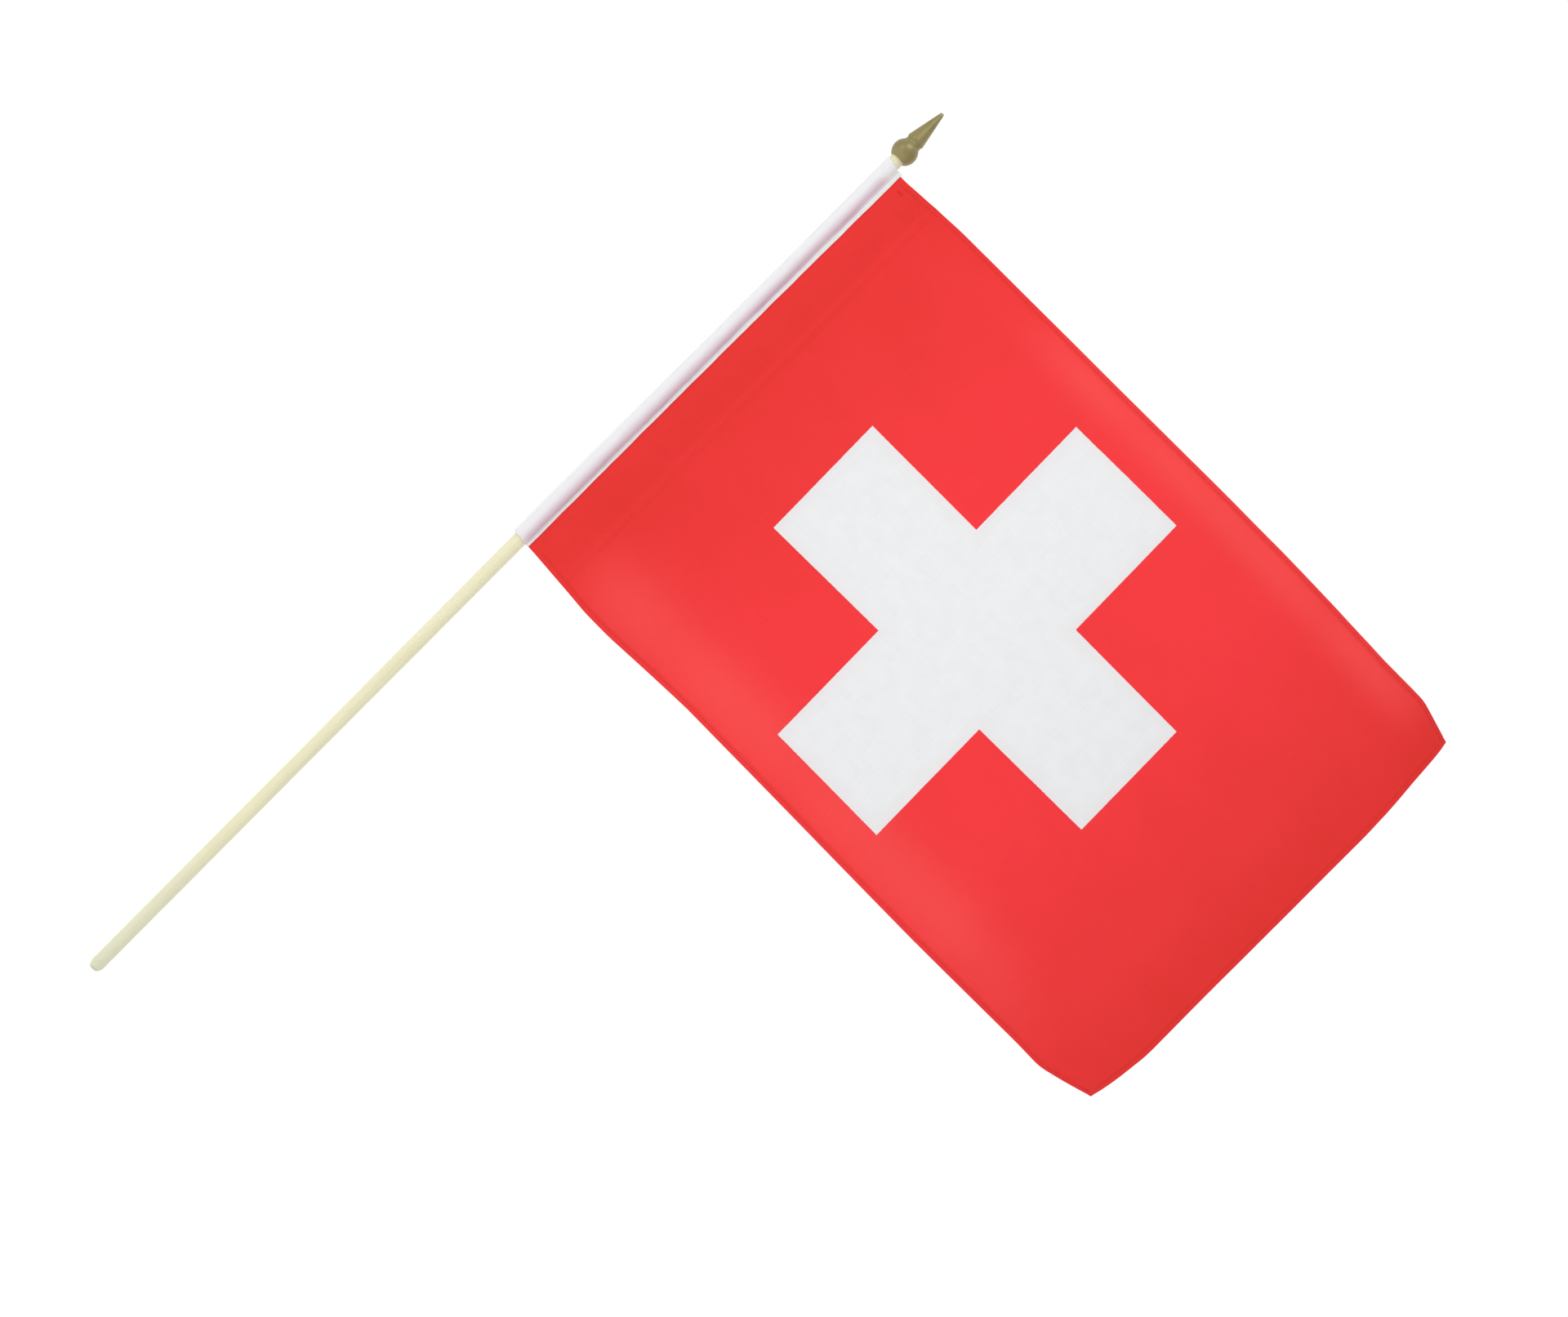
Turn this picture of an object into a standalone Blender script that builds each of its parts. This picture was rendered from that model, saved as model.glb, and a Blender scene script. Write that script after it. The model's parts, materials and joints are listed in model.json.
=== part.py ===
"""Hand-held stick flag: a round wooden stick, a gold spear finial, a fabric sleeve and a printed cloth.

The frame: the origin is the middle of the stick's lower end, +Z runs up the stick to the spear's tip,
+X runs from the stick to the fly edge, and the flag's front faces -Y.  All sizes are in metres.
"""

import math

import bmesh
import bpy
from mathutils import Vector

# ---------------------------------------------------------------- driving dimensions

CLEARANCE = 0.0003

STICK_LENGTH = 0.650
STICK_DIAMETER = 0.0084
STICK_TIP_HEIGHT = 0.0034
STICK_TIP_FLAT = 0.0030
STICK_TOP_CHAMFER = 0.0004

FINIAL_SOCKET_DEPTH = 0.0095
FINIAL_BALL_WALL = 0.0028
FINIAL_MOUTH_WALL = 0.0004
FINIAL_NECK_WALL = 0.00065
FINIAL_NECK_HEIGHT = 0.0028
FINIAL_GROOVE_DEPTH = 0.0004
FINIAL_GROOVE_HEIGHT = 0.0008
FINIAL_SPEAR_LEDGE = 0.0002
FINIAL_SPEAR_FLARE = 0.0016
FINIAL_SPEAR_LENGTH = 0.0206
FINIAL_TIP_DIAMETER = 0.0022

GLUE_THICKNESS = 0.0006

FLAG_HOIST = 0.300
FLAG_LENGTH = 0.445
FLAG_BELOW_FINIAL = 0.0027
CLOTH_THICKNESS = 0.0004
HEM_WIDTH = 0.0042
HEM_RISE = 0.0003
HEM_START = 0.0020

SLEEVE_EASE = 0.0007
SLEEVE_END_INSET = 0.0020
TAPE_THICKNESS = 0.0003
TAPE_FLAP_WIDTH = 0.0023
BEND_ROOM = 0.0012
BEND_GAP = 0.0005

THREAD_DIAMETER = 0.0003
THREAD_END_INSET = 0.0015
SLEEVE_SEAM_INSET = 0.0013
HEM_SEAM_INSET = 0.0031
HEM_SEAM_START = 0.0045

ROUND_SEGMENTS = 48
THREAD_SEGMENTS = 8
STICK_TIP_STEPS = 8
BALL_STEPS = 16
SLEEVE_STEPS = 40

FLAT_SHADED_OVER = math.radians(30)
MERGE_DISTANCE = 0.000001

UP = Vector((0.0, 0.0, 1.0))
TO_FLY = Vector((1.0, 0.0, 0.0))

# ---------------------------------------------------------------- places that follow from the sizes

STICK_RADIUS = STICK_DIAMETER / 2
SOCKET_RADIUS = STICK_RADIUS + CLEARANCE
MOUTH_RADIUS = SOCKET_RADIUS + FINIAL_MOUTH_WALL
BALL_RADIUS = SOCKET_RADIUS + FINIAL_BALL_WALL
NECK_RADIUS = SOCKET_RADIUS + FINIAL_NECK_WALL
SPEAR_RADIUS = NECK_RADIUS + FINIAL_SPEAR_LEDGE
GLUE_SPACE = GLUE_THICKNESS + 2 * CLEARANCE
FINIAL_MOUTH_Z = STICK_LENGTH + GLUE_SPACE - FINIAL_SOCKET_DEPTH

FLAG_TOP_Z = FINIAL_MOUTH_Z - FLAG_BELOW_FINIAL
FLAG_BOTTOM_Z = FLAG_TOP_Z - FLAG_HOIST
SLEEVE_TOP_Z = FLAG_TOP_Z - SLEEVE_END_INSET
SLEEVE_BOTTOM_Z = FLAG_BOTTOM_Z + SLEEVE_END_INSET

SLEEVE_INNER_RADIUS = STICK_RADIUS + SLEEVE_EASE
SLEEVE_OUTER_RADIUS = SLEEVE_INNER_RADIUS + TAPE_THICKNESS
FLAP_INNER_Y = CLOTH_THICKNESS / 2 + CLEARANCE
FLAP_OUTER_Y = FLAP_INNER_Y + TAPE_THICKNESS
FLAP_EDGE_X = SLEEVE_OUTER_RADIUS + TAPE_FLAP_WIDTH
STRIP_START_X = SLEEVE_INNER_RADIUS + CLEARANCE
BEND_X = FLAP_EDGE_X + BEND_ROOM
STRIP_END_X = BEND_X - BEND_GAP
FLY_X = BEND_X + FLAG_LENGTH
HEM_FACE_Y = CLOTH_THICKNESS / 2 + HEM_RISE


# ---------------------------------------------------------------- helpers


def clear_scene():
    """Remove every object that is already in the scene."""
    for old in list(bpy.data.objects):
        bpy.data.objects.remove(old, do_unlink=True)


def make_material(name, colour, roughness, metallic=0.0):
    """Make a Principled material from a colour (linear RGB), a roughness and a metallic value."""
    material = bpy.data.materials.new(name)
    material.use_nodes = True
    shader = material.node_tree.nodes["Principled BSDF"]
    shader.inputs["Base Color"].default_value = (*colour, 1.0)
    shader.inputs["Roughness"].default_value = roughness
    shader.inputs["Metallic"].default_value = metallic
    return material


def wood():
    """Pale unvarnished softwood."""
    return make_material("pale_wood", (0.80, 0.75, 0.52), 0.65)


def gold_lacquer():
    """Dull gold lacquer on moulded plastic."""
    return make_material("gold_lacquer", (0.30, 0.24, 0.09), 0.35, 0.8)


def hardened_glue():
    """Hardened clear yellow glue."""
    return make_material("hardened_glue", (0.75, 0.62, 0.30), 0.3)


def red_polyester():
    """Bright red printed polyester."""
    return make_material("red_polyester", (0.85, 0.04, 0.05), 0.85)


def white_tape():
    """White woven polyester tape."""
    return make_material("white_tape", (0.82, 0.82, 0.83), 0.85)


def red_thread():
    """Red polyester sewing thread."""
    return make_material("red_thread", (0.55, 0.02, 0.02), 0.7)


def white_thread():
    """White polyester sewing thread."""
    return make_material("white_thread", (0.85, 0.85, 0.85), 0.7)


def add_object(name, shape, material, location, is_round=False):
    """Turn a bmesh into a named object; a round one is shaded smooth except over its sharp edges."""
    bmesh.ops.recalc_face_normals(shape, faces=shape.faces)
    mesh = bpy.data.meshes.new(name)
    shape.to_mesh(mesh)
    shape.free()
    mesh.materials.append(material)
    if is_round:
        mesh.shade_smooth()
        mesh.set_sharp_from_angle(angle=FLAT_SHADED_OVER)
    thing = bpy.data.objects.new(name, mesh)
    thing.location = location
    bpy.context.scene.collection.objects.link(thing)
    return thing


def add_axis(name, location):
    """Add an empty on a joint's axis, which carries the pieces that turn about it."""
    axis = bpy.data.objects.new(name, None)
    axis.location = location
    axis.empty_display_size = 0.02
    bpy.context.scene.collection.objects.link(axis)
    return axis


def carry(axis, pieces):
    """Parent pieces to an axis and keep them where they stand."""
    for piece in pieces:
        piece.location = piece.location - axis.location
        piece.parent = axis


def turned(profile):
    """Spin a profile of (radius, height) points about the Z axis; its first and last points are on it."""
    shape = bmesh.new()
    points = [shape.verts.new((radius, 0.0, height)) for radius, height in profile]
    edges = [shape.edges.new(pair) for pair in zip(points, points[1:])]
    bmesh.ops.spin(
        shape,
        geom=points + edges,
        axis=UP,
        cent=(0.0, 0.0, 0.0),
        angle=2 * math.pi,
        steps=ROUND_SEGMENTS,
        use_merge=True,
    )
    bmesh.ops.remove_doubles(shape, verts=shape.verts, dist=MERGE_DISTANCE)
    return shape


def ribbon_prism(inner, outer, height):
    """Extrude the strip between two equally long XY paths upwards by height."""
    shape = bmesh.new()
    inner_verts = [shape.verts.new((x, y, 0.0)) for x, y in inner]
    outer_verts = [shape.verts.new((x, y, 0.0)) for x, y in outer]
    base = []
    for at in range(len(inner) - 1):
        quad = (inner_verts[at], inner_verts[at + 1], outer_verts[at + 1], outer_verts[at])
        base.append(shape.faces.new(quad))
    made = bmesh.ops.extrude_face_region(shape, geom=base, use_keep_orig=True)
    raised = [item for item in made["geom"] if isinstance(item, bmesh.types.BMVert)]
    bmesh.ops.translate(shape, verts=raised, vec=(0.0, 0.0, height))
    return shape


def block(size_x, size_y, size_z):
    """A block that starts at X = 0 and Z = 0 and is centred on the Y = 0 plane."""
    shape = bmesh.new()
    bmesh.ops.create_cube(shape, size=1.0)
    bmesh.ops.translate(shape, verts=shape.verts, vec=(0.5, 0.0, 0.5))
    bmesh.ops.scale(shape, verts=shape.verts, vec=(size_x, size_y, size_z))
    return shape


def cut_across(shape, place, normal):
    """Cut every face of a shape along a plane and keep both sides."""
    everything = shape.verts[:] + shape.edges[:] + shape.faces[:]
    bmesh.ops.bisect_plane(shape, geom=everything, plane_co=place, plane_no=normal)


def raise_faces(shape, faces, rise_y):
    """Extrude a patch of faces by a distance along Y and leave no faces inside."""
    made = bmesh.ops.extrude_face_region(shape, geom=faces)
    raised = [item for item in made["geom"] if isinstance(item, bmesh.types.BMVert)]
    bmesh.ops.translate(shape, verts=raised, vec=(0.0, rise_y, 0.0))
    bmesh.ops.delete(shape, geom=faces, context="FACES")


def arc(centre_x, centre_y, radius, start, end, steps):
    """Points of a circular arc from the start angle to the end angle, in radians."""
    points = []
    for step in range(steps + 1):
        angle = start + (end - start) * step / steps
        points.append((centre_x + radius * math.cos(angle), centre_y + radius * math.sin(angle)))
    return points


# ---------------------------------------------------------------- the staff


def stick():
    """The dowel: a bullet-rounded lower end with a small flat, and a chamfered upper end in the finial."""
    flat_radius = STICK_TIP_FLAT / 2
    profile = [(0.0, 0.0)]
    for step in range(STICK_TIP_STEPS + 1):
        angle = math.pi / 2 * step / STICK_TIP_STEPS
        radius = flat_radius + (STICK_RADIUS - flat_radius) * math.sin(angle)
        profile.append((radius, STICK_TIP_HEIGHT * (1 - math.cos(angle))))
    profile.append((STICK_RADIUS, STICK_LENGTH - STICK_TOP_CHAMFER))
    profile.append((STICK_RADIUS - STICK_TOP_CHAMFER, STICK_LENGTH))
    profile.append((0.0, STICK_LENGTH))
    return add_object("wooden_stick", turned(profile), wood(), (0.0, 0.0, 0.0), is_round=True)


def finial():
    """The spear finial: a ball with a blind socket for the stick, a neck, a groove and a tapered spear."""
    mouth_angle = -math.acos(MOUTH_RADIUS / BALL_RADIUS)
    neck_angle = math.acos(NECK_RADIUS / BALL_RADIUS)
    ball_centre = -BALL_RADIUS * math.sin(mouth_angle)
    neck_bottom = ball_centre + BALL_RADIUS * math.sin(neck_angle)
    neck_top = neck_bottom + FINIAL_NECK_HEIGHT
    groove_middle = neck_top + FINIAL_GROOVE_HEIGHT / 2
    groove_top = neck_top + FINIAL_GROOVE_HEIGHT
    flare_top = groove_top + FINIAL_SPEAR_FLARE
    tip_z = flare_top + FINIAL_SPEAR_LENGTH
    profile = [(0.0, FINIAL_SOCKET_DEPTH), (SOCKET_RADIUS, FINIAL_SOCKET_DEPTH), (SOCKET_RADIUS, 0.0)]
    profile += arc(0.0, ball_centre, BALL_RADIUS, mouth_angle, neck_angle, BALL_STEPS)
    profile.append((NECK_RADIUS, neck_top))
    profile.append((NECK_RADIUS - FINIAL_GROOVE_DEPTH, groove_middle))
    profile.append((NECK_RADIUS, groove_top))
    profile.append((SPEAR_RADIUS, flare_top))
    profile.append((FINIAL_TIP_DIAMETER / 2, tip_z))
    profile.append((0.0, tip_z))
    where = (0.0, 0.0, FINIAL_MOUTH_Z)
    return add_object("spear_finial", turned(profile), gold_lacquer(), where, is_round=True)


def finial_glue():
    """The drop of glue between the stick's upper end and the socket's roof."""
    radius = STICK_RADIUS - STICK_TOP_CHAMFER
    profile = [(0.0, 0.0), (radius, 0.0), (radius, GLUE_THICKNESS), (0.0, GLUE_THICKNESS)]
    where = (0.0, 0.0, STICK_LENGTH + CLEARANCE)
    return add_object("finial_glue", turned(profile), hardened_glue(), where, is_round=True)


# ---------------------------------------------------------------- the sleeve and what is sewn into it


def sleeve():
    """The tape folded round the stick: an open tube whose two flaps hold the cloth's edge between them."""
    inner_start = math.asin(FLAP_INNER_Y / SLEEVE_INNER_RADIUS)
    outer_start = math.asin(FLAP_OUTER_Y / SLEEVE_OUTER_RADIUS)
    turn = 2 * math.pi
    inner = [(FLAP_EDGE_X, FLAP_INNER_Y)]
    inner += arc(0.0, 0.0, SLEEVE_INNER_RADIUS, inner_start, turn - inner_start, SLEEVE_STEPS)
    inner.append((FLAP_EDGE_X, -FLAP_INNER_Y))
    outer = [(FLAP_EDGE_X, FLAP_OUTER_Y)]
    outer += arc(0.0, 0.0, SLEEVE_OUTER_RADIUS, outer_start, turn - outer_start, SLEEVE_STEPS)
    outer.append((FLAP_EDGE_X, -FLAP_OUTER_Y))
    shape = ribbon_prism(inner, outer, SLEEVE_TOP_Z - SLEEVE_BOTTOM_Z)
    where = (0.0, 0.0, SLEEVE_BOTTOM_Z)
    return add_object("pole_sleeve", shape, white_tape(), where, is_round=True)


def hoist_strip():
    """The strip of the cloth between the sleeve's flaps, up to the line where the cloth bends."""
    shape = block(STRIP_END_X - STRIP_START_X, CLOTH_THICKNESS, SLEEVE_TOP_Z - SLEEVE_BOTTOM_Z)
    return add_object("cloth_hoist_strip", shape, red_polyester(), (STRIP_START_X, 0.0, SLEEVE_BOTTOM_Z))


def thread_rod(name, start, length, direction, material):
    """One thread of a row of stitches: a thin round rod from start along direction, +X or +Z."""
    radius = THREAD_DIAMETER / 2
    shape = bmesh.new()
    bmesh.ops.create_cone(
        shape, cap_ends=True, segments=THREAD_SEGMENTS, radius1=radius, radius2=radius, depth=length
    )
    turn = UP.rotation_difference(direction).to_matrix()
    bmesh.ops.rotate(shape, verts=shape.verts, cent=(0.0, 0.0, 0.0), matrix=turn)
    return add_object(name, shape, material, start + direction * length / 2, is_round=True)


def thread_pair(name, surface_y, start_x, start_z, length, direction, make_thread_material):
    """The two threads of a lockstitch row: needle thread on the front, bobbin thread on the back."""
    thread_y = surface_y + CLEARANCE + THREAD_DIAMETER / 2
    pair = []
    for side, kind in ((-1, "needle"), (1, "bobbin")):
        start = Vector((start_x, side * thread_y, start_z))
        pair.append(thread_rod(f"{name}_{kind}_thread", start, length, direction, make_thread_material()))
    return pair


def sleeve_seam():
    """The row of stitches through both flaps and the strip of cloth between them."""
    row_x = FLAP_EDGE_X - SLEEVE_SEAM_INSET
    start_z = SLEEVE_BOTTOM_Z + THREAD_END_INSET
    length = SLEEVE_TOP_Z - SLEEVE_BOTTOM_Z - 2 * THREAD_END_INSET
    return thread_pair("sleeve", FLAP_OUTER_Y, row_x, start_z, length, UP, white_thread)


# ---------------------------------------------------------------- the cloth and its hems


def cloth():
    """The printed cloth beyond its bend line, with folded hems on the top, bottom and fly edges."""
    shape = block(FLAG_LENGTH, CLOTH_THICKNESS, FLAG_HOIST)
    fly_hem_x = FLAG_LENGTH - HEM_WIDTH
    top_hem_z = FLAG_HOIST - HEM_WIDTH
    for line_x in (HEM_START, fly_hem_x):
        cut_across(shape, (line_x, 0.0, 0.0), TO_FLY)
    for line_z in (HEM_WIDTH, top_hem_z):
        cut_across(shape, (0.0, 0.0, line_z), UP)

    def is_hem(face):
        middle = face.calc_center_median()
        in_long_hem = middle.x > HEM_START and not HEM_WIDTH < middle.z < top_hem_z
        return middle.x > fly_hem_x or in_long_hem

    for side in (-1, 1):
        surface = [face for face in shape.faces if face.normal.y * side > 0.5]
        raise_faces(shape, [face for face in surface if is_hem(face)], side * HEM_RISE)
    return add_object("printed_cloth", shape, red_polyester(), (BEND_X, 0.0, FLAG_BOTTOM_Z))


def hem_seams():
    """The rows of stitches along the top, bottom and fly hems."""
    fly_row_x = FLY_X - HEM_SEAM_INSET
    row_start_x = BEND_X + HEM_SEAM_START
    row_length = fly_row_x - row_start_x - THREAD_DIAMETER - CLEARANCE
    top_row_z = FLAG_TOP_Z - HEM_SEAM_INSET
    bottom_row_z = FLAG_BOTTOM_Z + HEM_SEAM_INSET
    fly_start_z = FLAG_BOTTOM_Z + THREAD_END_INSET
    fly_length = FLAG_HOIST - 2 * THREAD_END_INSET
    rows = thread_pair("top_hem", HEM_FACE_Y, row_start_x, top_row_z, row_length, TO_FLY, red_thread)
    rows += thread_pair("bottom_hem", HEM_FACE_Y, row_start_x, bottom_row_z, row_length, TO_FLY, red_thread)
    rows += thread_pair("fly_hem", HEM_FACE_Y, fly_row_x, fly_start_z, fly_length, UP, red_thread)
    return rows


# ---------------------------------------------------------------- the whole flag


def main():
    """Build every piece and hang the moving ones on their joints' axes."""
    clear_scene()
    stick()
    finial()
    finial_glue()
    sleeve_axis = add_axis("sleeve_axis", (0.0, 0.0, SLEEVE_BOTTOM_Z))
    carry(sleeve_axis, [sleeve(), hoist_strip()] + sleeve_seam())
    cloth_axis = add_axis("cloth_axis", (BEND_X, 0.0, FLAG_BOTTOM_Z))
    carry(cloth_axis, [cloth()] + hem_seams())
    cloth_axis.location = cloth_axis.location - sleeve_axis.location
    cloth_axis.parent = sleeve_axis


main()
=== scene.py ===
"""Looks of a hand-held stick flag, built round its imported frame.

Every piece is a surface worked out with numpy as whole arrays, and takes its place from the frame's own
boxes. Lengths are in metres, and MM turns millimetres into metres. +Z runs up the stick, +X runs from the
stick to the fly edge, and the front of the cloth faces -Y. A flat place on the cloth is (across, up): across
is the distance from the stick's axis and up is the height over the floor, both before the cloth is hung.
"""

import json
import logging
import math
from dataclasses import dataclass, field
from enum import Enum

import bpy
import numpy as np
from mathutils import Matrix, Vector

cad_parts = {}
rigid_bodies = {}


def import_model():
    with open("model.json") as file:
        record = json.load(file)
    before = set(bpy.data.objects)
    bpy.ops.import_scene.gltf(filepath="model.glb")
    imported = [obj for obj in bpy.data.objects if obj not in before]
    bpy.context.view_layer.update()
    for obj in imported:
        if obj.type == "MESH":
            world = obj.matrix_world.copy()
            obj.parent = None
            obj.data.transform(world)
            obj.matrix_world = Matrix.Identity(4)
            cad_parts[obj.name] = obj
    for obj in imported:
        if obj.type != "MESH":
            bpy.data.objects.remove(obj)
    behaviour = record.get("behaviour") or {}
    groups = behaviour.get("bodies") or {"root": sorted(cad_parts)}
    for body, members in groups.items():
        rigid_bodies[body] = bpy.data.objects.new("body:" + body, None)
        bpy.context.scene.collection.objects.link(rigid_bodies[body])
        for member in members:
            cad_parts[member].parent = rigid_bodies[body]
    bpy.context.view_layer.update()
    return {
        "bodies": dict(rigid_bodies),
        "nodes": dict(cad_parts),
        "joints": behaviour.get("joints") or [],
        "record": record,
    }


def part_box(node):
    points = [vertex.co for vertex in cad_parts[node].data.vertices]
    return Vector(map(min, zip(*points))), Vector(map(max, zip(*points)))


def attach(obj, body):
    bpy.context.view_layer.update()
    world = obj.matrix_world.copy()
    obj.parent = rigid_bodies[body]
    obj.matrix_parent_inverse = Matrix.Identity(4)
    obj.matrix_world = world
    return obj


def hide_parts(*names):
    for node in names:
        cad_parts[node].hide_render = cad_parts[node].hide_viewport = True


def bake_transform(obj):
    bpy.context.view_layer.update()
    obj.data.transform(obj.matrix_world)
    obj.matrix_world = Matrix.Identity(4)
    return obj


MM = 0.001
TURN = 2 * math.pi
Array = np.ndarray
Colour = tuple[float, float, float]
Socket = bpy.types.NodeSocket
log = logging.getLogger("stick_flag")


class Side(Enum):
    """A face of the flag, with its direction along Y."""

    FRONT = -1.0
    BACK = 1.0

    @classmethod
    def of(cls, box: "Box") -> "Side":
        """The face that a thread's box lies on."""
        return cls.FRONT if box.low.y + box.high.y < 0 else cls.BACK


class Hem(Enum):
    """A hemmed edge of the cloth."""

    TOP = "top"
    BOTTOM = "bottom"
    FLY = "fly"


# ---------------------------------------------------------------------------------------------- numbers


def ease(low: float, high: float, value: Array) -> Array:
    """A smooth step: 0 up to low, 1 from high, and 3t^2 - 2t^3 between them.

    Args:
        low: where the step starts.
        high: where the step ends.
        value: the places to work it out at.

    Returns:
        The step's height at each place.
    """
    part = np.clip((value - low) / (high - low), 0.0, 1.0)
    return part * part * (3.0 - 2.0 * part)


def hump(middle: float, width: float, value: Array) -> Array:
    """A bell curve of height 1: e to the minus square of the distance from the middle over the width.

    Args:
        middle: where the bell stands.
        width: the distance at which it has fallen to 1/e.
        value: the places to work it out at.

    Returns:
        The bell's height at each place.
    """
    return np.exp(-(((value - middle) / width) ** 2))


def wander(place: Array, wavelength: float, phase: float) -> Array:
    """An uneven wave between about -1 and 1: three sines whose wavelengths share no common multiple.

    Args:
        place: the places to work it out at.
        wavelength: the longest of the three waves.
        phase: shifts the waves, so that two calls differ.

    Returns:
        The wave's height at each place.
    """
    turn = TURN * place / wavelength
    first = np.sin(turn + phase)
    second = 0.6 * np.sin(turn * 1.618 + 1.7 * phase + 1.0)
    third = 0.4 * np.sin(turn * 2.703 + 2.3 * phase + 2.0)
    return (first + second + third) / 1.6


def rounded_line(place: Array, stations: Array, heights: Array, window: float) -> Array:
    """A line through a few stations, rounded by averaging it over a short window.

    Args:
        place: the places to work it out at.
        stations: the stations' places, rising.
        heights: the line's height at each station.
        window: half the length that the average runs over.

    Returns:
        The line's height at each place.
    """
    shifts = np.linspace(-window, window, 9)
    return sum(np.interp(place + shift, stations, heights) for shift in shifts) / len(shifts)


def spaced(low: float, high: float, step: float, fine: list[tuple[float, float, float]]) -> Array:
    """Places from low to high that crowd together where detail is needed.

    The density is 1/step, raised to 1/fine step inside each fine band. The places are where the density's
    running total passes whole numbers.

    Args:
        low: the first place.
        high: the last place.
        step: the distance between places outside the bands.
        fine: for each band, its middle, half its width and its own step.

    Returns:
        The rising places.
    """
    probe = np.linspace(low, high, 20001)
    density = np.full_like(probe, 1.0 / step)
    for middle, half, own_step in fine:
        inside = 1.0 - ease(half, half * 1.6, np.abs(probe - middle))
        density = np.maximum(density, inside / own_step)
    total = np.concatenate([[0.0], np.cumsum((density[1:] + density[:-1]) / 2 * np.diff(probe))])
    count = int(math.ceil(total[-1])) + 1
    return np.interp(np.linspace(0.0, total[-1], count), total, probe)


def unit(vectors: Array) -> Array:
    """The vectors, each divided by its own length."""
    return vectors / np.linalg.norm(vectors, axis=-1, keepdims=True)


def cells(grid: Array) -> Array:
    """The four corners of every cell of a grid, going round.

    Args:
        grid: rows x columns, with any more axes.

    Returns:
        Cells x 4, with the same more axes.
    """
    corners = np.stack([grid[:-1, :-1], grid[1:, :-1], grid[1:, 1:], grid[:-1, 1:]], axis=2)
    return corners.reshape(-1, 4, *grid.shape[2:])


def rimmed(half: Array, to_rim: Array, radius: float) -> Array:
    """Half a sheet's thickness, which falls to 0 at its rim along a quarter circle.

    Args:
        half: half the thickness, rows x columns.
        to_rim: each place's distance from the rim.
        radius: the circle's radius.

    Returns:
        The rounded half thickness, 0 on the grid's border.
    """
    rounded = half * np.sqrt(np.clip(1 - (1 - np.minimum(to_rim / radius, 1.0)) ** 2, 0, 1))
    rounded[[0, -1]] = 0.0
    rounded[:, [0, -1]] = 0.0
    return rounded


# ---------------------------------------------------------------------------------------------- meshes


@dataclass
class Surface:
    """Points and faces worked out as arrays, ready to become one mesh."""

    points: Array
    quads: Array
    quad_uv: Array
    triangles: Array = field(default_factory=lambda: np.zeros((0, 3), int))
    triangle_uv: Array = field(default_factory=lambda: np.zeros((0, 3, 2)))
    marks: dict[str, Array] = field(default_factory=dict)

    def joined(self, other: "Surface") -> "Surface":
        """Both surfaces as one, without their marks.

        Args:
            other: the surface to add.

        Returns:
            A surface with the points and faces of both.
        """
        shift = len(self.points)
        return Surface(
            np.concatenate([self.points, other.points]),
            np.concatenate([self.quads, other.quads + shift]),
            np.concatenate([self.quad_uv, other.quad_uv]),
            np.concatenate([self.triangles, other.triangles + shift]),
            np.concatenate([self.triangle_uv, other.triangle_uv]),
        )

    def piece(self, name: str, material: bpy.types.Material) -> bpy.types.Object:
        """Puts the surface into a smooth-shaded mesh object at the origin.

        Args:
            name: the object's name.
            material: its material.

        Returns:
            The new object.
        """
        mesh = bpy.data.meshes.new(name)
        corners = np.concatenate([self.quads.ravel(), self.triangles.ravel()]).astype(np.int32)
        starts = np.concatenate([
            4 * np.arange(len(self.quads)),
            4 * len(self.quads) + 3 * np.arange(len(self.triangles)),
        ]).astype(np.int32)
        mesh.vertices.add(len(self.points))
        mesh.vertices.foreach_set("co", self.points.astype(np.float32).ravel())
        mesh.loops.add(len(corners))
        mesh.loops.foreach_set("vertex_index", corners)
        mesh.polygons.add(len(starts))
        mesh.polygons.foreach_set("loop_start", starts)
        mesh.update(calc_edges=True)
        mesh.validate()
        mesh.polygons.foreach_set("use_smooth", np.ones(len(starts), bool))
        uv = np.concatenate([self.quad_uv.reshape(-1, 2), self.triangle_uv.reshape(-1, 2)])
        mesh.uv_layers.new(name="UVMap").data.foreach_set("uv", uv.astype(np.float32).ravel())
        for mark, values in self.marks.items():
            attribute = mesh.attributes.new(mark, "FLOAT", "POINT")
            attribute.data.foreach_set("value", values.astype(np.float32).ravel())
        mesh.materials.append(material)
        made = bpy.data.objects.new(name, mesh)
        bpy.context.scene.collection.objects.link(made)
        return made


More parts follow.
